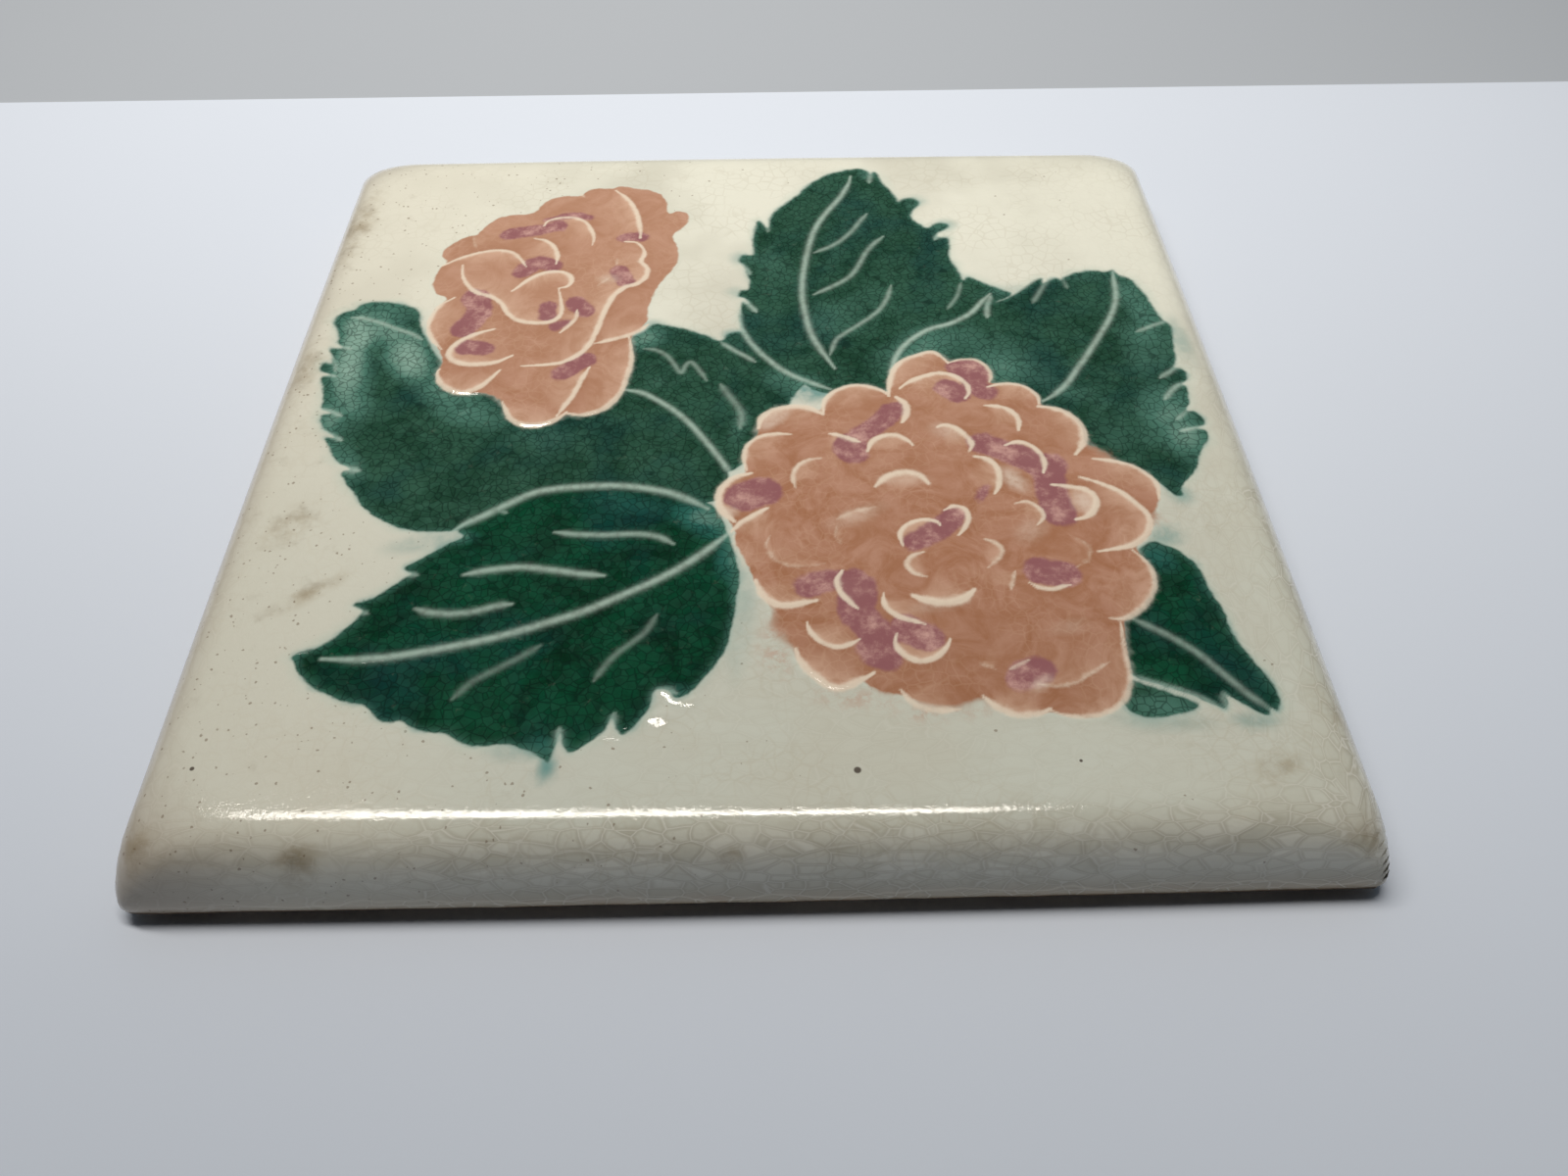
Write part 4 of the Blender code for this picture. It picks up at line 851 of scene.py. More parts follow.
glazed_faces = set(face.faces)
bmesh.ops.contextual_create(face, geom=[e for e in face.edges if e.is_boundary])
channel_half = rim_half - RIM_WIDTH
channel_width = (2 * channel_half - RIB_COUNT * RIB_WIDTH) / (RIB_COUNT + 1)
channel_starts = [-channel_half + i * (channel_width + RIB_WIDTH) for i in range(RIB_COUNT + 1)]
cuts = [(x, Vector((1, 0, 0))) for start in channel_starts for x in (start, start + channel_width)]
cuts += [(y, Vector((0, 1, 0))) for y in (-channel_half, channel_half)]
for where, normal in cuts:
    flat = [f for f in face.faces if f not in glazed_faces]
    geom = list({g for f in flat for g in (f, *f.edges, *f.verts)})
    at = normal * where * MM
    bmesh.ops.bisect_plane(face, geom=geom, dist=ON_PLANE, plane_co=at, plane_no=normal)
print("the bottom is cut into", sum(f not in glazed_faces for f in face.faces), "faces")

# %% Push up the channels
channels = []
for f in face.faces:
    if f in glazed_faces:
        continue
    x, y, _ = f.calc_center_median() / MM
    if abs(y) < channel_half and any(s < x < s + channel_width for s in channel_starts):
        channels.append(f)
bmesh.ops.recalc_face_normals(face, faces=face.faces)
bmesh.ops.inset_individual(face, faces=channels, thickness=CHANNEL_SLOPE * MM, depth=-FOOT_HEIGHT * MM)
print(len(channels), "channels, each", round(channel_width, 1), "mm wide")

# %% Make the object
GLAZE_SLOT, CLAY_SLOT = 0, 1
SHARP_ANGLE = math.radians(50)

for f in face.faces:
    f.material_index = GLAZE_SLOT if f in glazed_sheet else CLAY_SLOT
bmesh.ops.triangulate(face, faces=[f for f in face.faces if len(f.verts) > 4])
tile_mesh = bpy.data.meshes.new("glazed_tile")
face.to_mesh(tile_mesh)
face.free()
tile_mesh.shade_smooth()
tile_mesh.set_sharp_from_angle(angle=SHARP_ANGLE)
tile = bpy.data.objects.new("glazed_tile", tile_mesh)
bpy.context.scene.collection.objects.link(tile)
triangles = sum(len(p.vertices) - 2 for p in tile_mesh.polygons)
print("the tile has", triangles, "triangles")

# %% [markdown]
# ## Glazes
#
# A glaze is coloured glass. It is dark where it pools, thin and pale over ridges, and it cracks as
# it cools. Each of these effects is a node group with named sockets, so the same crackle can serve
# the ground and the leaves with cells of another size.


# %% Node helpers
def colour(red, green, blue):
    """A screen colour, 0 to 255, as the linear values that a shader takes."""
    shares = [c / 255 for c in (red, green, blue)]
    linear = [s / 12.92 if s <= 0.04045 else ((s + 0.055) / 1.055) ** 2.4 for s in shares]
    return (*linear, 1.0)


def connect(tree, node, inputs):
    """Sets a node's inputs. Each is a value, or the output of another node to link to it."""
    for key, value in inputs.items():
        if isinstance(value, bpy.types.NodeSocket):
            tree.links.new(value, node.inputs[key])
        else:
            node.inputs[key].default_value = value


def add(tree, kind, inputs, **settings):
    """Adds a node, with its settings first and then its inputs."""
    made = tree.nodes.new(kind)
    for key, value in settings.items():
        setattr(made, key, value)
    connect(tree, made, inputs)
    return made


def maths(tree, operation, *values, clamp=False):
    """What a Math node makes of some numbers."""
    inputs = dict(enumerate(values))
    return add(tree, "ShaderNodeMath", inputs, operation=operation, use_clamp=clamp).outputs[0]


def times(tree, first, second):
    """The product of two numbers."""
    return maths(tree, "MULTIPLY", first, second)


def ramp(tree, value, low, high, out_low=0.0, out_high=1.0, kind="SMOOTHSTEP"):
    """value from low to high becomes out_low to out_high, held at the ends."""
    inputs = {"Value": value, "From Min": low, "From Max": high, "To Min": out_low, "To Max": out_high}
    return add(tree, "ShaderNodeMapRange", inputs, interpolation_type=kind).outputs[0]


def mottle(tree, where, scale, detail=4.0, roughness=0.55, swirl=0.0):
    """Cloudy noise around 0.5, with so many patches to a metre."""
    inputs = {"Vector": where, "Scale": scale, "Detail": detail, "Roughness": roughness}
    inputs["Distortion"] = swirl
    return add(tree, "ShaderNodeTexNoise", inputs).outputs["Fac"]


def between(tree, share, first, second):
    """Two numbers mixed by a share."""
    return add(tree, "ShaderNodeMix", {0: share, 2: first, 3: second}, data_type="FLOAT").outputs[0]


def blended(tree, share, first, second):
    """Two colours mixed by a share."""
    return add(tree, "ShaderNodeMix", {0: share, 6: first, 7: second}, data_type="RGBA").outputs[2]


def group(name, numbers, masks):
    """An empty node group with a vector and numbers going in, and masks coming out."""
    tree = bpy.data.node_groups.new(name, "ShaderNodeTree")
    tree.interface.new_socket("Vector", in_out="INPUT", socket_type="NodeSocketVector")
    for label, value in numbers.items():
        socket = tree.interface.new_socket(label, in_out="INPUT", socket_type="NodeSocketFloat")
        socket.default_value = value
    for label in masks:
        tree.interface.new_socket(label, in_out="OUTPUT", socket_type="NodeSocketFloat")
    start = tree.nodes.new("NodeGroupInput").outputs
    return tree, start, tree.nodes.new("NodeGroupOutput").inputs


def use(tree, made, inputs):
    """Places a node group in a material, sets its inputs and gives its outputs."""
    return add(tree, "ShaderNodeGroup", inputs, node_tree=made).outputs


# %% Crackle: fine cracks between cells of uneven size, with a band of painted shade beside each crack
WOBBLE_SCALE, WOBBLE_REACH = 260.0, 0.0013  # patches to a metre, and metres
SHADE_BESIDE_SHARE = 4.0  # how many cracks wide the painted shade beside a crack reaches

crackle, start, end = group(
    "Crackle", {"Cells per Metre": 330.0, "Crack Width": 0.05}, ("Cracks", "Painted Shade", "Cell Tone")
)
wobble_inputs = {"Vector": start["Vector"], "Scale": WOBBLE_SCALE, "Detail": 1.0}
wobble = add(crackle, "ShaderNodeTexNoise", wobble_inputs).outputs["Color"]
pushed = add(crackle, "ShaderNodeVectorMath", {0: wobble, "Scale": WOBBLE_REACH}, operation="SCALE")
moved_inputs = {0: start["Vector"], 1: pushed.outputs[0]}
moved = add(crackle, "ShaderNodeVectorMath", moved_inputs, operation="ADD").outputs[0]
cell_inputs = {"Vector": moved, "Scale": start["Cells per Metre"]}
rims = add(crackle, "ShaderNodeTexVoronoi", cell_inputs, feature="DISTANCE_TO_EDGE")
rim_gap, crack_width = rims.outputs["Distance"], start["Crack Width"]
crackle.links.new(ramp(crackle, rim_gap, 0.0, crack_width, 1.0, 0.0), end["Cracks"])
far_side = times(crackle, crack_width, SHADE_BESIDE_SHARE)
# painted shade: a darker band on both sides of each crack
crackle.links.new(ramp(crackle, rim_gap, crack_width, far_side, 1.0, 0.0), end["Painted Shade"])
tones = add(crackle, "ShaderNodeTexVoronoi", cell_inputs, feature="F1").outputs["Color"]
tone = add(crackle, "ShaderNodeSeparateColor", {"Color": tones})
crackle.links.new(tone.outputs[0], end["Cell Tone"])
print("made", crackle.name)

# %% Glaze edge: where one glaze stops, at an uneven line
WANDER_SCALE = 700.0

glaze_edge, start, end = group(
    "Glaze Edge",
    {"Depth Inside": 0.0, "Softness": 0.2, "Wander": 0.3, "Wander Scale": WANDER_SCALE},
    ("Mask",),
)
drift = mottle(glaze_edge, start["Vector"], start["Wander Scale"], 3.0, 0.5)
centred = maths(glaze_edge, "SUBTRACT", drift, 0.5)
shifted = maths(glaze_edge, "MULTIPLY_ADD", centred, start["Wander"], start["Depth Inside"])
below = times(glaze_edge, start["Softness"], -1.0)
glaze_edge.links.new(ramp(glaze_edge, shifted, below, start["Softness"]), end["Mask"])
print("made", glaze_edge.name)

# %% Speckle: scattered specks of dirt or iron
RAGGED_SCALE = 3200.0

speckle, start, end = group("Speckle", {"Specks per Metre": 900.0, "Amount": 0.1}, ("Mask",))
spot_inputs = {"Vector": start["Vector"], "Scale": start["Specks per Metre"]}
spots = add(speckle, "ShaderNodeTexVoronoi", spot_inputs, feature="F1").outputs
chance = add(speckle, "ShaderNodeSeparateColor", {"Color": spots["Color"]}).outputs
ragged = mottle(speckle, start["Vector"], RAGGED_SCALE, 1.0, 0.5)
present = maths(speckle, "LESS_THAN", chance[0], start["Amount"])
jagged = maths(speckle, "MULTIPLY_ADD", ragged, 0.5, -0.22)
size = maths(speckle, "MULTIPLY_ADD", chance[1], 0.3, jagged)
dot = maths(speckle, "SUBTRACT", size, spots["Distance"])
speckle.links.new(times(speckle, present, ramp(speckle, dot, 0.0, 0.12)), end["Mask"])
print("made", speckle.name)

# %% Grime: a patchy film of dirt
grime, start, end = group("Grime", {"Amount": 0.3, "Patches per Metre": 60.0}, ("Mask",))
film = mottle(grime, start["Vector"], start["Patches per Metre"], 5.0, 0.65)
grime.links.new(ramp(grime, maths(grime, "ADD", film, start["Amount"]), 0.62, 1.15), end["Mask"])
print("made", grime.name)

# %% [markdown]
# ## The glazed face
#
# One material colours the whole glazed sheet, because the glazes run into one another. It starts
# with the ivory ground and lays the green, the peach and the mauve over it, each inside its own
# edge, then thins them over the ridges. Separate materials on separate faces would stop along the
# mesh's edges and not where the glaze stops.


# %% Start a material
def new_material(name):
    """A material of the tile: its tree, its shader and the place on the tile that it colours."""
    made = bpy.data.materials.new(name)
    made.use_nodes = True
    tile_mesh.materials.append(made)
    tree = made.node_tree
    where = add(tree, "ShaderNodeTexCoord", {}).outputs["Object"]
    return tree, tree.nodes["Principled BSDF"], where


tree, shader, where = new_material("painted_glaze")
read = {
    name: add(tree, "ShaderNodeAttribute", {}, attribute_name=name).outputs["Fac"] for name in measures
}
rightward, backward, _ = add(tree, "ShaderNodeSeparateXYZ", {"Vector": where}).outputs  # metres
roll = read["roll"]  # 0 on the level face and 1 at the foot
print("the glaze reads", len(read), "measures")


# %% Layers and edges of glaze
def layered(mask, amount, base, tone):
    """The tone laid over the base where the mask is, at so much of its full strength."""
    return blended(tree, maths(tree, "MULTIPLY", mask, amount, clamp=True), base, tone)


def edged(depth, softness, wander, scale=WANDER_SCALE):
    """A mask that is 1 inside an outline. Its edge is soft and wanders by so much, in mm."""
    inputs = {"Vector": where, "Depth Inside": depth, "Softness": softness, "Wander": wander}
    inputs["Wander Scale"] = scale
    return use(tree, glaze_edge, inputs)["Mask"]


def laid(step):
    """Prints how many nodes a material has after a step."""
    print(step, "laid,", len(tree.nodes), "nodes so far")


# %% Long cracks that run with the edges
LONG_CELL_SHARE = 0.5
LONG_CELLS, LONG_CRACK_WIDTH = 640.0, 0.05

along_front, along_side = (
    add(tree, "ShaderNodeMapping", {"Vector": where, "Scale": scale}).outputs[0]
    for scale in ((LONG_CELL_SHARE, 1.0, 1.0), (1.0, LONG_CELL_SHARE, 1.0))
)
sideways, lengthways = (maths(tree, "ABSOLUTE", way) for way in (rightward, backward))
drawn_inputs = {0: maths(tree, "GREATER_THAN", sideways, lengthways), 4: along_front, 5: along_side}
drawn_out = add(tree, "ShaderNodeMix", drawn_inputs, data_type="VECTOR").outputs[1]
long_inputs = {"Vector": drawn_out, "Cells per Metre": LONG_CELLS, "Crack Width": LONG_CRACK_WIDTH}
long_crackle = use(tree, crackle, long_inputs)
print("long cells are", 1 / LONG_CELL_SHARE, "times as long as wide")

# %% How strong they are: strongest on the roll, then to the right and to the front
on_edge = ramp(tree, roll, 0.0, 0.3, 0.06, 0.8)
to_right = ramp(tree, rightward, 0.035, 0.07, 0.0, 0.2)
to_front = ramp(tree, backward, 0.02, -0.06, 0.0, 0.15)
fewer_behind = ramp(tree, backward, 0.03, -0.03, 0.3, 1.0)
patches = ramp(tree, mottle(tree, where, 60.0), 0.35, 0.6, 0.6, 1.0)
crack_strength = maths(tree, "ADD", on_edge, maths(tree, "ADD", to_right, to_front))
crack_strength = times(tree, crack_strength, times(tree, patches, fewer_behind))
laid("how strong the cracks are")

# %% Small cracks, of one size in the ivory, another in the leaves and another in the blooms
IVORY_CELLS, LEAF_CELLS, BLOOM_CELLS = 480.0, 850.0, 620.0
SMALL_CRACK_WIDTH = 0.11

in_leaves, in_blooms = (ramp(tree, read[name], -0.1, 0.1) for name in ("leaf_in", "bloom_in"))
cells = between(tree, in_blooms, between(tree, in_leaves, IVORY_CELLS, LEAF_CELLS), BLOOM_CELLS)
small_inputs = {"Vector": where, "Cells per Metre": cells, "Crack Width": SMALL_CRACK_WIDTH}
small_crackle = use(tree, crackle, small_inputs)
small_cracks = times(tree, small_crackle["Cracks"], ramp(tree, mottle(tree, where, 75.0), 0.42, 0.6))
print("small cells, mm:", [round(1 / MM / c, 1) for c in (IVORY_CELLS, LEAF_CELLS, BLOOM_CELLS)])

# %% Ivory ground: painted light towards the back and on the roll, painted shade and dirt low on the roll
IVORY, IVORY_LIT, IVORY_DEEP = colour(211, 214, 202), colour(238, 238, 224), colour(206, 204, 189)
ROLL_LIT, ROLL_SHADE_AND_DIRT = colour(246, 245, 234), colour(160, 134, 102)

# painted light: the ivory is lighter and warmer towards the back, where the lamp lights it more
ground = blended(tree, ramp(tree, backward, -0.045, 0.05), IVORY, IVORY_LIT)
ground = layered(ramp(tree, mottle(tree, where, 45.0, 3.0), 0.4, 0.75), 0.6, ground, IVORY_DEEP)
# painted light: the upper and middle roll is paler, as if lit more strongly
roll_lit_share = times(tree, ramp(tree, roll, 0.12, 0.45), ramp(tree, roll, 0.95, 0.6))
ground = layered(roll_lit_share, 0.8, ground, ROLL_LIT)
# darker and browner low on the roll: partly a film of dirt, partly painted shade near the foot
ground = layered(ramp(tree, roll, 0.6, 1.0), 0.85, ground, ROLL_SHADE_AND_DIRT)
laid("ivory ground")

# %% The cracks laid on the ground, with painted shade beside them
LONG_CRACK_LAYERS = (
    ("Cell Tone", 0.5, colour(190, 188, 170)),
    # painted shade beside each crack, in the place of the shading a raised edge would give
    ("Painted Shade", 0.36, colour(160, 152, 130)),
    ("Cracks", 0.46, colour(250, 250, 243)),
)
SMALL_CRACK = colour(188, 180, 158)

for part, amount, tone in LONG_CRACK_LAYERS:
    ground = layered(times(tree, long_crackle[part], crack_strength), amount, ground, tone)
ground = layered(small_cracks, 0.2, ground, SMALL_CRACK)
laid("cracks")

# %% The line where the glaze has dripped and stopped
DRIP_SPAN = 5.0  # mm above the foot that the line may wander over
DRIP_HALF_WIDTH = 0.3
DRIP = colour(226, 220, 204)

drip_wander = maths(tree, "MULTIPLY_ADD", mottle(tree, where, 90.0, 3.0), DRIP_SPAN, -DRIP_SPAN)
off_drip = maths(tree, "ABSOLUTE", maths(tree, "ADD", read["above_foot"], drip_wander))
ground = layered(ramp(tree, off_drip, DRIP_HALF_WIDTH, 0.0), 0.5, ground, DRIP)
laid("drip line")

# %% A film of dirt and stains, most of it towards the left
LEFT_IVORY, LEFT_FILM = colour(230, 226, 210), colour(156, 138, 124)
DIRT, STAIN = colour(134, 118, 94), colour(162, 142, 104)

to_left = ramp(tree, rightward, -0.05, -0.077)
ground = layered(ramp(tree, rightward, -0.02, -0.06), 0.45, ground, LEFT_IVORY)
left_share = times(tree, to_left, ramp(tree, roll, 0.0, 0.5, 0.1, 1.0))
ground = layered(left_share, 0.6, ground, LEFT_FILM)
film_amount = maths(tree, "ADD", times(tree, to_left, 0.1), times(tree, read["stain"], 0.55))
dirt_inputs = {"Vector": where, "Amount": film_amount, "Patches per Metre": 260.0}
ground = layered(use(tree, grime, dirt_inputs)["Mask"], 0.7, ground, DIRT)
soaked = ramp(tree, mottle(tree, where, 420.0, 4.0, 0.65), 0.4, 0.6, 0.2, 1.0)
ground = layered(times(tree, read["stain"], soaked), 0.6, ground, STAIN)
laid("film and stains")

# %% Specks: many small ones, and three larger ones listed by place and size
SPECK, DARK_SPECK = colour(112, 86, 58), colour(58, 38, 28)
SPECKS_PER_METRE = 1300.0
DARK_SPECKS = ((12.2, -64.5, 0.55), (38.8, -63.8, 0.26), (-66.6, -62.5, 0.35))  # place and radius

speck_amount = ramp(tree, rightward, 0.01, -0.072, 0.01, 0.36)
speck_inputs = {"Vector": where, "Specks per Metre": SPECKS_PER_METRE, "Amount": speck_amount}
ground = layered(use(tree, speckle, speck_inputs)["Mask"], 0.55, ground, SPECK)
for x, y, radius in DARK_SPECKS:
    centre = Vector((x, y, FACE_HEIGHT)) * MM
    gap = add(tree, "ShaderNodeVectorMath", {0: where, 1: centre}, operation="DISTANCE")
    dark_speck = ramp(tree, gap.outputs["Value"], radius * MM, 0.6 * radius * MM)
    ground = layered(dark_speck, 0.85, ground, DARK_SPECK)
laid("specks")

# %% Halo and washes of green that has run into the ivory
HALO, WASH = colour(192, 210, 196), colour(92, 150, 146)

leaf_halo = edged(read["leaf_in"], 2.0, 3.0, 260.0)
painted = layered(leaf_halo, 0.75, ground, HALO)
painted = layered(edged(read["leaf_in"], 0.7, 1.6, 380.0), 0.6, painted, WASH)
bleed = ramp(tree, mottle(tree, where, 240.0), 0.3, 0.6, 0.35, 1.0)
painted = layered(times(tree, read["wash"], bleed), 0.85, painted, WASH)
laid("halo and washes")

# %% Green glaze, dark where it pools
GREEN, GREEN_LIGHT = colour(26, 62, 44), colour(52, 92, 74)
POOL, POOL_LIGHT = colour(2, 42, 22), colour(6, 72, 46)
BLUE_GREEN = colour(16, 58, 64)

green_cloud = mottle(tree, where, 130.0, 5.0, 0.6, 0.8)
fine_cloud = mottle(tree, where, 900.0, 3.0)
both_clouds = maths(tree, "MULTIPLY_ADD", fine_cloud, 0.4, maths(tree, "SUBTRACT", green_cloud, 0.2))
tone_share = ramp(tree, both_clouds, 0.3, 0.7)
green = blended(tree, tone_share, GREEN, GREEN_LIGHT)
green = blended(tree, read["dark_leaf"], green, blended(tree, tone_share, POOL, POOL_LIGHT))
blue_share = times(tree, ramp(tree, mottle(tree, where, 75.0, 3.0), 0.45, 0.7), 0.5)
green = blended(tree, blue_share, green, BLUE_GREEN)
laid("green")

# %% Teal where it is thin: in soft patches and along the margins
TEAL, TEAL_PALE, TEAL_DARK = colour(80, 126, 112), colour(142, 178, 164), colour(14, 98, 92)

uneven = maths(tree, "MULTIPLY_ADD", green_cloud, 1.6, -0.8)
unevenness = times(tree, uneven, ramp(tree, read["thin"], 0.0, 0.6, 0.25, 0.6))
thinness = maths(tree, "ADD", read["thin"], unevenness)
teal = blended(tree, times(tree, read["dark_leaf"], 0.7), TEAL, TEAL_DARK)
green = blended(tree, ramp(tree, thinness, 0.1, 0.95, kind="LINEAR"), green, teal)
green = blended(tree, ramp(tree, thinness, 0.9, 1.8, kind="LINEAR"), green, TEAL_PALE)
margin = maths(tree, "MULTIPLY_ADD", uneven, 0.7, read["leaf_in"])
green = layered(ramp(tree, margin, 1.1, 0.0), 0.4, green, teal)
laid("teal")

# %% Cracks and veins in the leaves, and the leaves' edges
LEAF_CELL, LEAF_CRACK = colour(60, 110, 92), colour(3, 24, 16)
VEIN, VEIN_OUTSIDE = colour(172, 206, 194), colour(222, 232, 218)

green = layered(small_crackle["Cell Tone"], 0.16, green, LEAF_CELL)
green = layered(small_crackle["Cracks"], 0.55, green, LEAF_CRACK)
vein_share = times(tree, read["vein"], ramp(tree, fine_cloud, 0.3, 0.6, 0.6, 1.1))
green = layered(vein_share, 0.74, green, VEIN)
leaf_edge = edged(read["leaf_in"], ramp(tree, backward, -0.02, 0.05, 0.24, 0.42), 0.7)
painted = blended(tree, leaf_edge, painted, green)
painted = layered(times(tree, read["vein"], leaf_halo), 0.35, painted, VEIN_OUTSIDE)
laid("the leaves")

# %% Peach glaze of the blooms, brushed on
PEACH, PEACH_DEEP, PEACH_PALE = colour(193, 146, 123), colour(172, 120, 90), colour(223, 188, 164)
PEACH_LIT, PEACH_SHADED = colour(206, 166, 142), colour(148, 100, 70)
BEHIND_PETAL, PEACH_CRACK = colour(164, 112, 82), colour(238, 205, 178)

brush = mottle(tree, where, 150.0, 5.0, 0.6, 2.0)
fine_share = maths(tree, "MULTIPLY_ADD", fine_cloud, 0.4, -0.2)
brush_share = maths(tree, "ADD", ramp(tree, brush, 0.3, 0.7), fine_share, clamp=True)
peach = blended(tree, brush_share, PEACH_DEEP, PEACH)
# painted light and shade: the peach is lighter towards the back and darker towards the front
peach = layered(ramp(tree, backward, -0.03, 0.04), 0.4, peach, PEACH_LIT)
peach = layered(ramp(tree, backward, -0.03, -0.05), 0.25, peach, PEACH_SHADED)
peach = layered(read["behind"], 0.5, peach, BEHIND_PETAL)
glow_share = times(tree, read["glow"], ramp(tree, brush, 0.3, 0.65, 0.6, 1.1))
peach = layered(glow_share, 0.75, peach, PEACH_PALE)
peach = layered(small_cracks, 0.1, peach, PEACH_CRACK)
laid("peach")

# %% The blooms' edges, and peach that the brush has smeared over them
BLOOM_HALO = colour(222, 230, 216)

painted = layered(edged(read["bloom_in"], 1.1, 1.6), 0.7, painted, BLOOM_HALO)
streaky = ramp(tree, mottle(tree, where, 500.0, 4.0, 0.7), 0.42, 0.62)
painted = layered(times(tree, read["smear"], streaky), 0.75, painted, PEACH)
soft_rim = maths(tree, "MULTIPLY_ADD", read["smear"], 1.6, 0.25)
bloom_edge = edged(read["bloom_in"], soft_rim, 0.8)
painted = blended(tree, bloom_edge, painted, peach)
laid("the blooms")

# %% Mauve brushed over the peach, and places that stayed pale
MAUVE, MAUVE_PALE = colour(150, 96, 104), colour(216, 172, 164)
PALE = colour(232, 214, 198)

mauve_share = ramp(tree, mottle(tree, where, 330.0, 5.0, 0.68), 0.43, 0.77)
mauve = blended(tree, mauve_share, MAUVE, MAUVE_PALE)
mauve_edge = edged(read["mauve_in"], 0.4, 1.5, 420.0)
painted = layered(times(tree, mauve_edge, bloom_edge), 0.9, painted, mauve)
pale_share = times(tree, read["pale"], ramp(tree, fine_cloud, 0.3, 0.6, 0.6, 1.0))
painted = layered(pale_share, 0.8, painted, PALE)
laid("mauve")

# %% The petals' edges, where the glaze is thin
CREAM = colour(240, 224, 204)

worn = mottle(tree, where, 620.0, 4.0, 0.65)
worn_edge = maths(tree, "MULTIPLY_ADD", worn, 0.9, maths(tree, "SUBTRACT", read["cream"], 0.45))
painted = layered(ramp(tree, worn_edge, 0.1, 0.95), 0.9, painted, CREAM)
laid("petals' edges")

# %% Below the lip the clay is bare, dark with dirt and with painted shade from the lip above
BARE_BAND = 0.75  # mm of clay that shows above the foot
BARE_CLAY_AND_SHADE = colour(84, 64, 46)

lip_edge = edged(maths(tree, "SUBTRACT", read["above_foot"], BARE_BAND), 0.12, 0.9, 260.0)
# the band's dark colour is partly dirt and partly painted shade under the lip
painted = blended(tree, lip_edge, BARE_CLAY_AND_SHADE, painted)
laid("bare band")

# %% Finish the glaze
GLAZE_IOR = 1.52
BARE_ROUGHNESS = 0.85
GLAZE_BUMP = 0.000035  # metres

gloss = ramp(tree, mottle(tree, where, 120.0, 3.0), 0.3, 0.8, 0.04, 0.11)
bump_inputs = {"Strength": 1.0, "Distance": GLAZE_BUMP, "Height": mottle(tree, where, 1500.0)}
bump = add(tree, "ShaderNodeBump", bump_inputs).outputs["Normal"]
roughness = between(tree, lip_edge, BARE_ROUGHNESS, gloss)
finish = {"Base Color": painted, "IOR": GLAZE_IOR, "Roughness": roughness, "Normal": bump}
connect(tree, shader, finish)
print("painted_glaze has", len(tree.nodes), "nodes")

# %% [markdown]
# ## The bare clay
#
# The foot and the back are unglazed: buff clay, dry and matt, with grains in it and patches of old
# mortar. The same speckle and grime groups serve it, with stronger values.

# %% Bare clay of the foot and the back
CLAY, CLAY_DARK = colour(188, 168, 142), colour(166, 142, 114)
GRAIN, OLD_MORTAR = colour(120, 96, 74), colour(112, 98, 82)
CLAY_BUMP = 0.00012  # metres

tree, shader, where = new_material("bare_clay")
body = blended(tree, ramp(tree, mottle(tree, where, 90.0), 0.3, 0.7), CLAY, CLAY_DARK)
grain_inputs = {"Vector": where, "Specks per Metre": SPECKS_PER_METRE, "Amount": 0.3}
grains = use(tree, speckle, grain_inputs)["Mask"]
body = layered(grains, 0.35, body, GRAIN)
mortar_inputs = {"Vector": where, "Amount": 0.3, "Patches per Metre": 70.0}
body = layered(use(tree, grime, mortar_inputs)["Mask"], 0.7, body, OLD_MORTAR)
dryness = ramp(tree, mottle(tree, where, 300.0), 0.3, 0.7, 0.75, 0.95)
grain_height = maths(tree, "MULTIPLY_ADD", grains, 0.4, mottle(tree, where, 1800.0))
bump_inputs = {"Strength": 0.8, "Distance": CLAY_BUMP, "Height": grain_height}
bump = add(tree, "ShaderNodeBump", bump_inputs).outputs["Normal"]
connect(tree, shader, {"Base Color": body, "Roughness": dryness, "Normal": bump})
print("bare_clay has", len(tree.nodes), "nodes")

# %% [markdown]
# ## Floor, light and camera
#
# The tile lies on a plain pale floor. One long strip lamp hangs over it, a little behind, and gives
# the bright line along the front edge. The world adds a soft fill. It is dim from the front, where
# the rolled edge would mirror it, and it counts for less in the glaze's reflections, so that the
# level face keeps its colours.


# %% Put an object into the scene
def link(name, data):
    """A new object in the scene, at the origin."""
    made = bpy.data.objects.new(name, data)
    bpy.context.scene.collection.objects.link(made)
    return made


# %% Floor, with a pale board on it that ends a little behind the tile
FLOOR_HALF, FLOOR_Z = 2.0, -0.001
BOARD_HALF, BOARD_BACK = 0.6, 0.12
FLOOR_TONE, BOARD_TONE = colour(176, 182, 190), colour(219, 227, 240)
STAGE_ROUGHNESS = 0.9


def stage_plane(name, half, back, z, tone):
    """A level sheet of the stage in one pale matt colour, from -half to half and back to back."""
    sheet = bmesh.new()
    bmesh.ops.create_grid(sheet, x_segments=1, y_segments=1, size=0.5)
    bmesh.ops.scale(sheet, vec=(2 * half, half + back, 1), verts=sheet.verts)
    bmesh.ops.translate(sheet, vec=(0, (back - half) / 2, z), verts=sheet.verts)
    mesh = bpy.data.meshes.new(name)
    sheet.to_mesh(mesh)
    sheet.free()
    matt = bpy.data.materials.new(name)
    matt.use_nodes = True
    settings = {"Base Color": tone, "Roughness": STAGE_ROUGHNESS}
    connect(matt.node_tree, matt.node_tree.nodes["Principled BSDF"], settings)
    mesh.materials.append(matt)
    made = link(name, mesh)


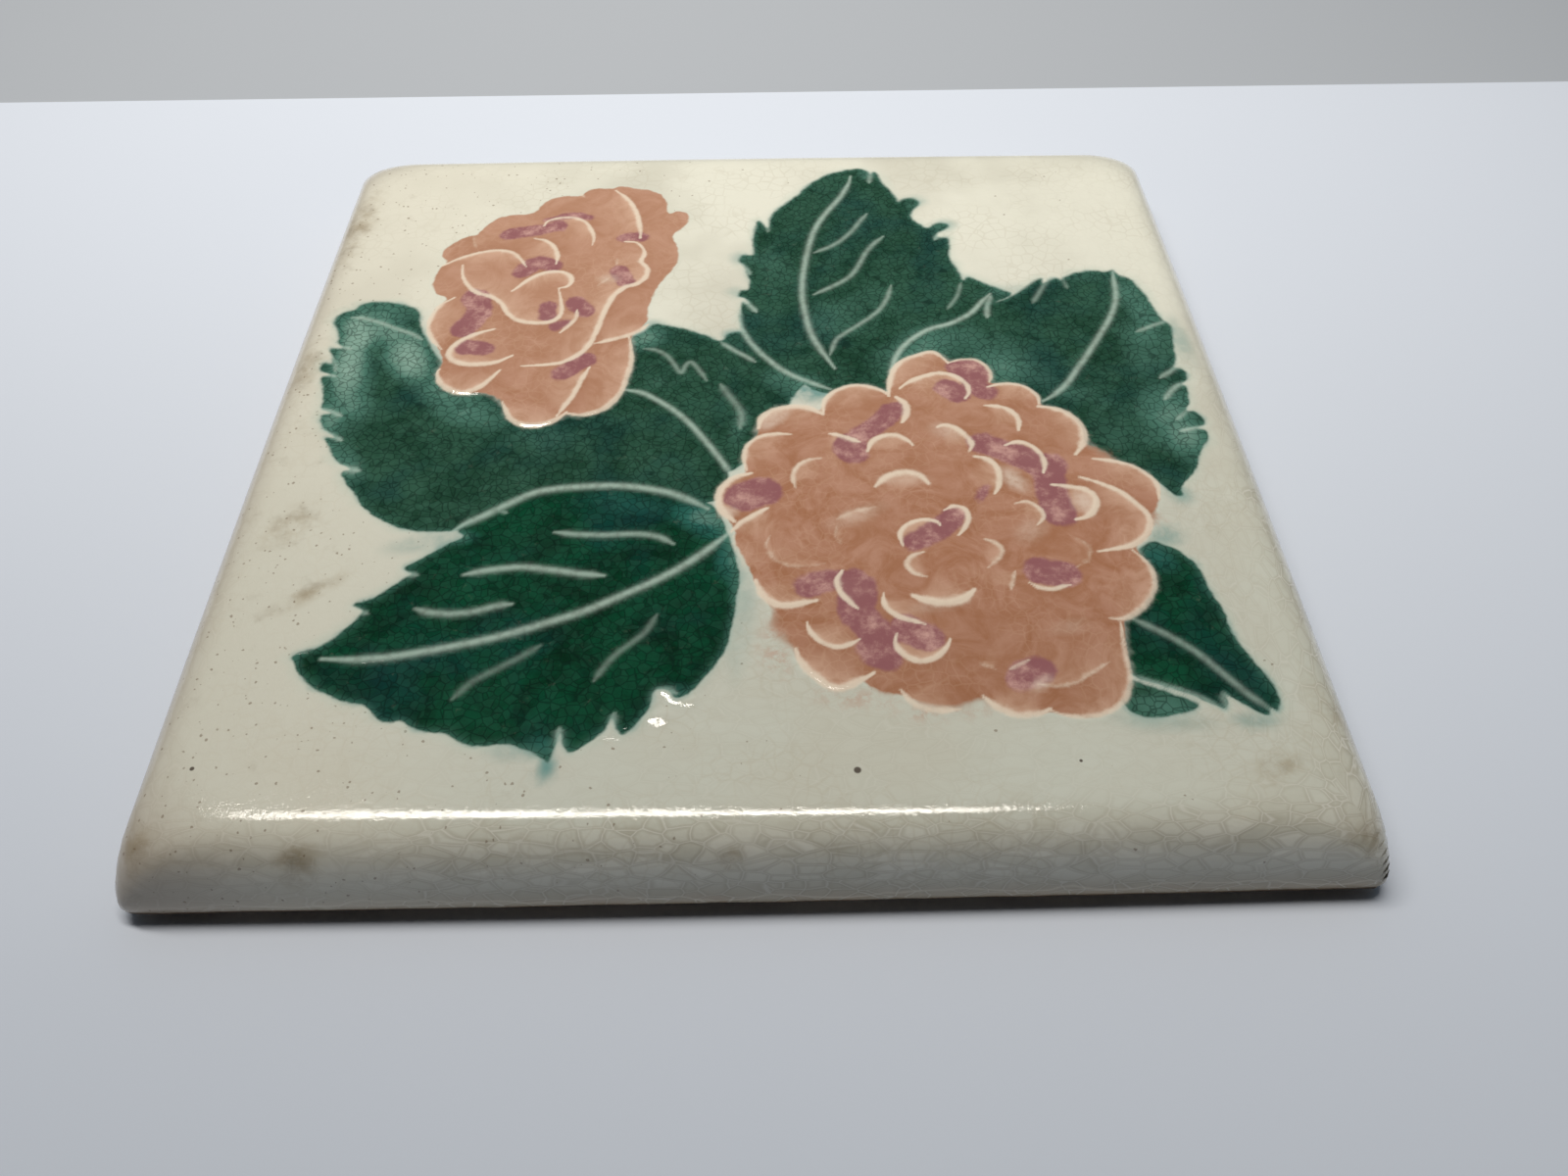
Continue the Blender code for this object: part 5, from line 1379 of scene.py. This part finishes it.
stage_plane("floor", FLOOR_HALF, FLOOR_HALF, FLOOR_Z, FLOOR_TONE)
stage_plane("board", BOARD_HALF, BOARD_BACK, 0.0, BOARD_TONE)
print("the board ends", round((BOARD_BACK - tile_high.y) / MM), "mm behind the tile")

# %% Strip lamp
STRIP_LENGTH, STRIP_WIDTH, STRIP_WATTS = 0.42, 0.12, 3.65
STRIP_COLOUR = (1.0, 0.94, 0.86)
STRIP_HEIGHT, STRIP_LEFT, FRONT_EDGE = 0.5, -0.08, -0.07
STRIP_LEAN, STRIP_TILT, STRIP_TURN = (math.radians(angle) for angle in (16, 44, -17))

strip = bpy.data.lights.new("strip_lamp", "AREA")
strip.shape = "RECTANGLE"
strip.size, strip.size_y = STRIP_LENGTH, STRIP_WIDTH
strip.energy = STRIP_WATTS
strip.color = STRIP_COLOUR
strip_object = link("strip_lamp", strip)
strip_back = FRONT_EDGE + STRIP_HEIGHT * math.tan(STRIP_LEAN)
strip_object.location = (STRIP_LEFT, strip_back, STRIP_HEIGHT)
strip_object.rotation_euler = (STRIP_TILT, 0, STRIP_TURN)
print("the lamp hangs", round(strip_back - FRONT_EDGE, 3), "m behind the front edge")

# %% Soft fill, dim from the front and brighter from behind, and dimmer in the glaze's reflections
FRONT_FILL, BACK_FILL = 0.012, 0.3
IN_REFLECTIONS = 0.25
FILL_COLOUR = (0.74, 0.88, 1.0, 1.0)

world = bpy.data.worlds.new("soft_room")
world.use_nodes = True
sky = world.node_tree
way = add(sky, "ShaderNodeTexCoord", {}).outputs["Generated"]
direction = add(sky, "ShaderNodeSeparateXYZ", {"Vector": way}).outputs
mirrored = add(sky, "ShaderNodeLightPath", {}).outputs["Is Glossy Ray"]
fill = ramp(sky, direction[1], -0.15, 0.5, FRONT_FILL, BACK_FILL)
fill = times(sky, fill, maths(sky, "MULTIPLY_ADD", mirrored, IN_REFLECTIONS - 1, 1.0))
connect(sky, sky.nodes["Background"], {"Color": FILL_COLOUR, "Strength": fill})
bpy.context.scene.world = world
bpy.context.scene.view_settings.view_transform = "Standard"
print("fill from", FRONT_FILL, "to", BACK_FILL)

# %% Camera at the photograph's angle
CAMERA_PLACE = Vector((2.33, -140.82, 136.43)) * MM
YAW, PITCH, ROLL = (math.radians(angle) for angle in (0.97, 49.76, -0.29))
FOCAL_SHARE = 1243 / 1600  # focal length as a share of the picture's width
CLIP_START = 0.01

level = math.cos(PITCH)
forward = Vector((math.sin(YAW) * level, math.cos(YAW) * level, -math.sin(PITCH)))
level_right = Vector((math.cos(YAW), -math.sin(YAW), 0))
level_up = level_right.cross(forward)
right = level_right * math.cos(ROLL) + level_up * math.sin(ROLL)
up = level_up * math.cos(ROLL) - level_right * math.sin(ROLL)
camera = bpy.data.cameras.new("camera")
camera.lens = FOCAL_SHARE * camera.sensor_width
camera.clip_start = CLIP_START
camera_object = link("camera", camera)
camera_object.matrix_world = Matrix((right, up, -forward)).transposed().to_4x4()
camera_object.location = CAMERA_PLACE
bpy.context.scene.camera = camera_object
print("lens", round(camera.lens, 2), "mm")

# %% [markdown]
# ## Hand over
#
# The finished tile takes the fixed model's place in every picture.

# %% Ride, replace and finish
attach(tile, "root")
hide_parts("floral_tile")
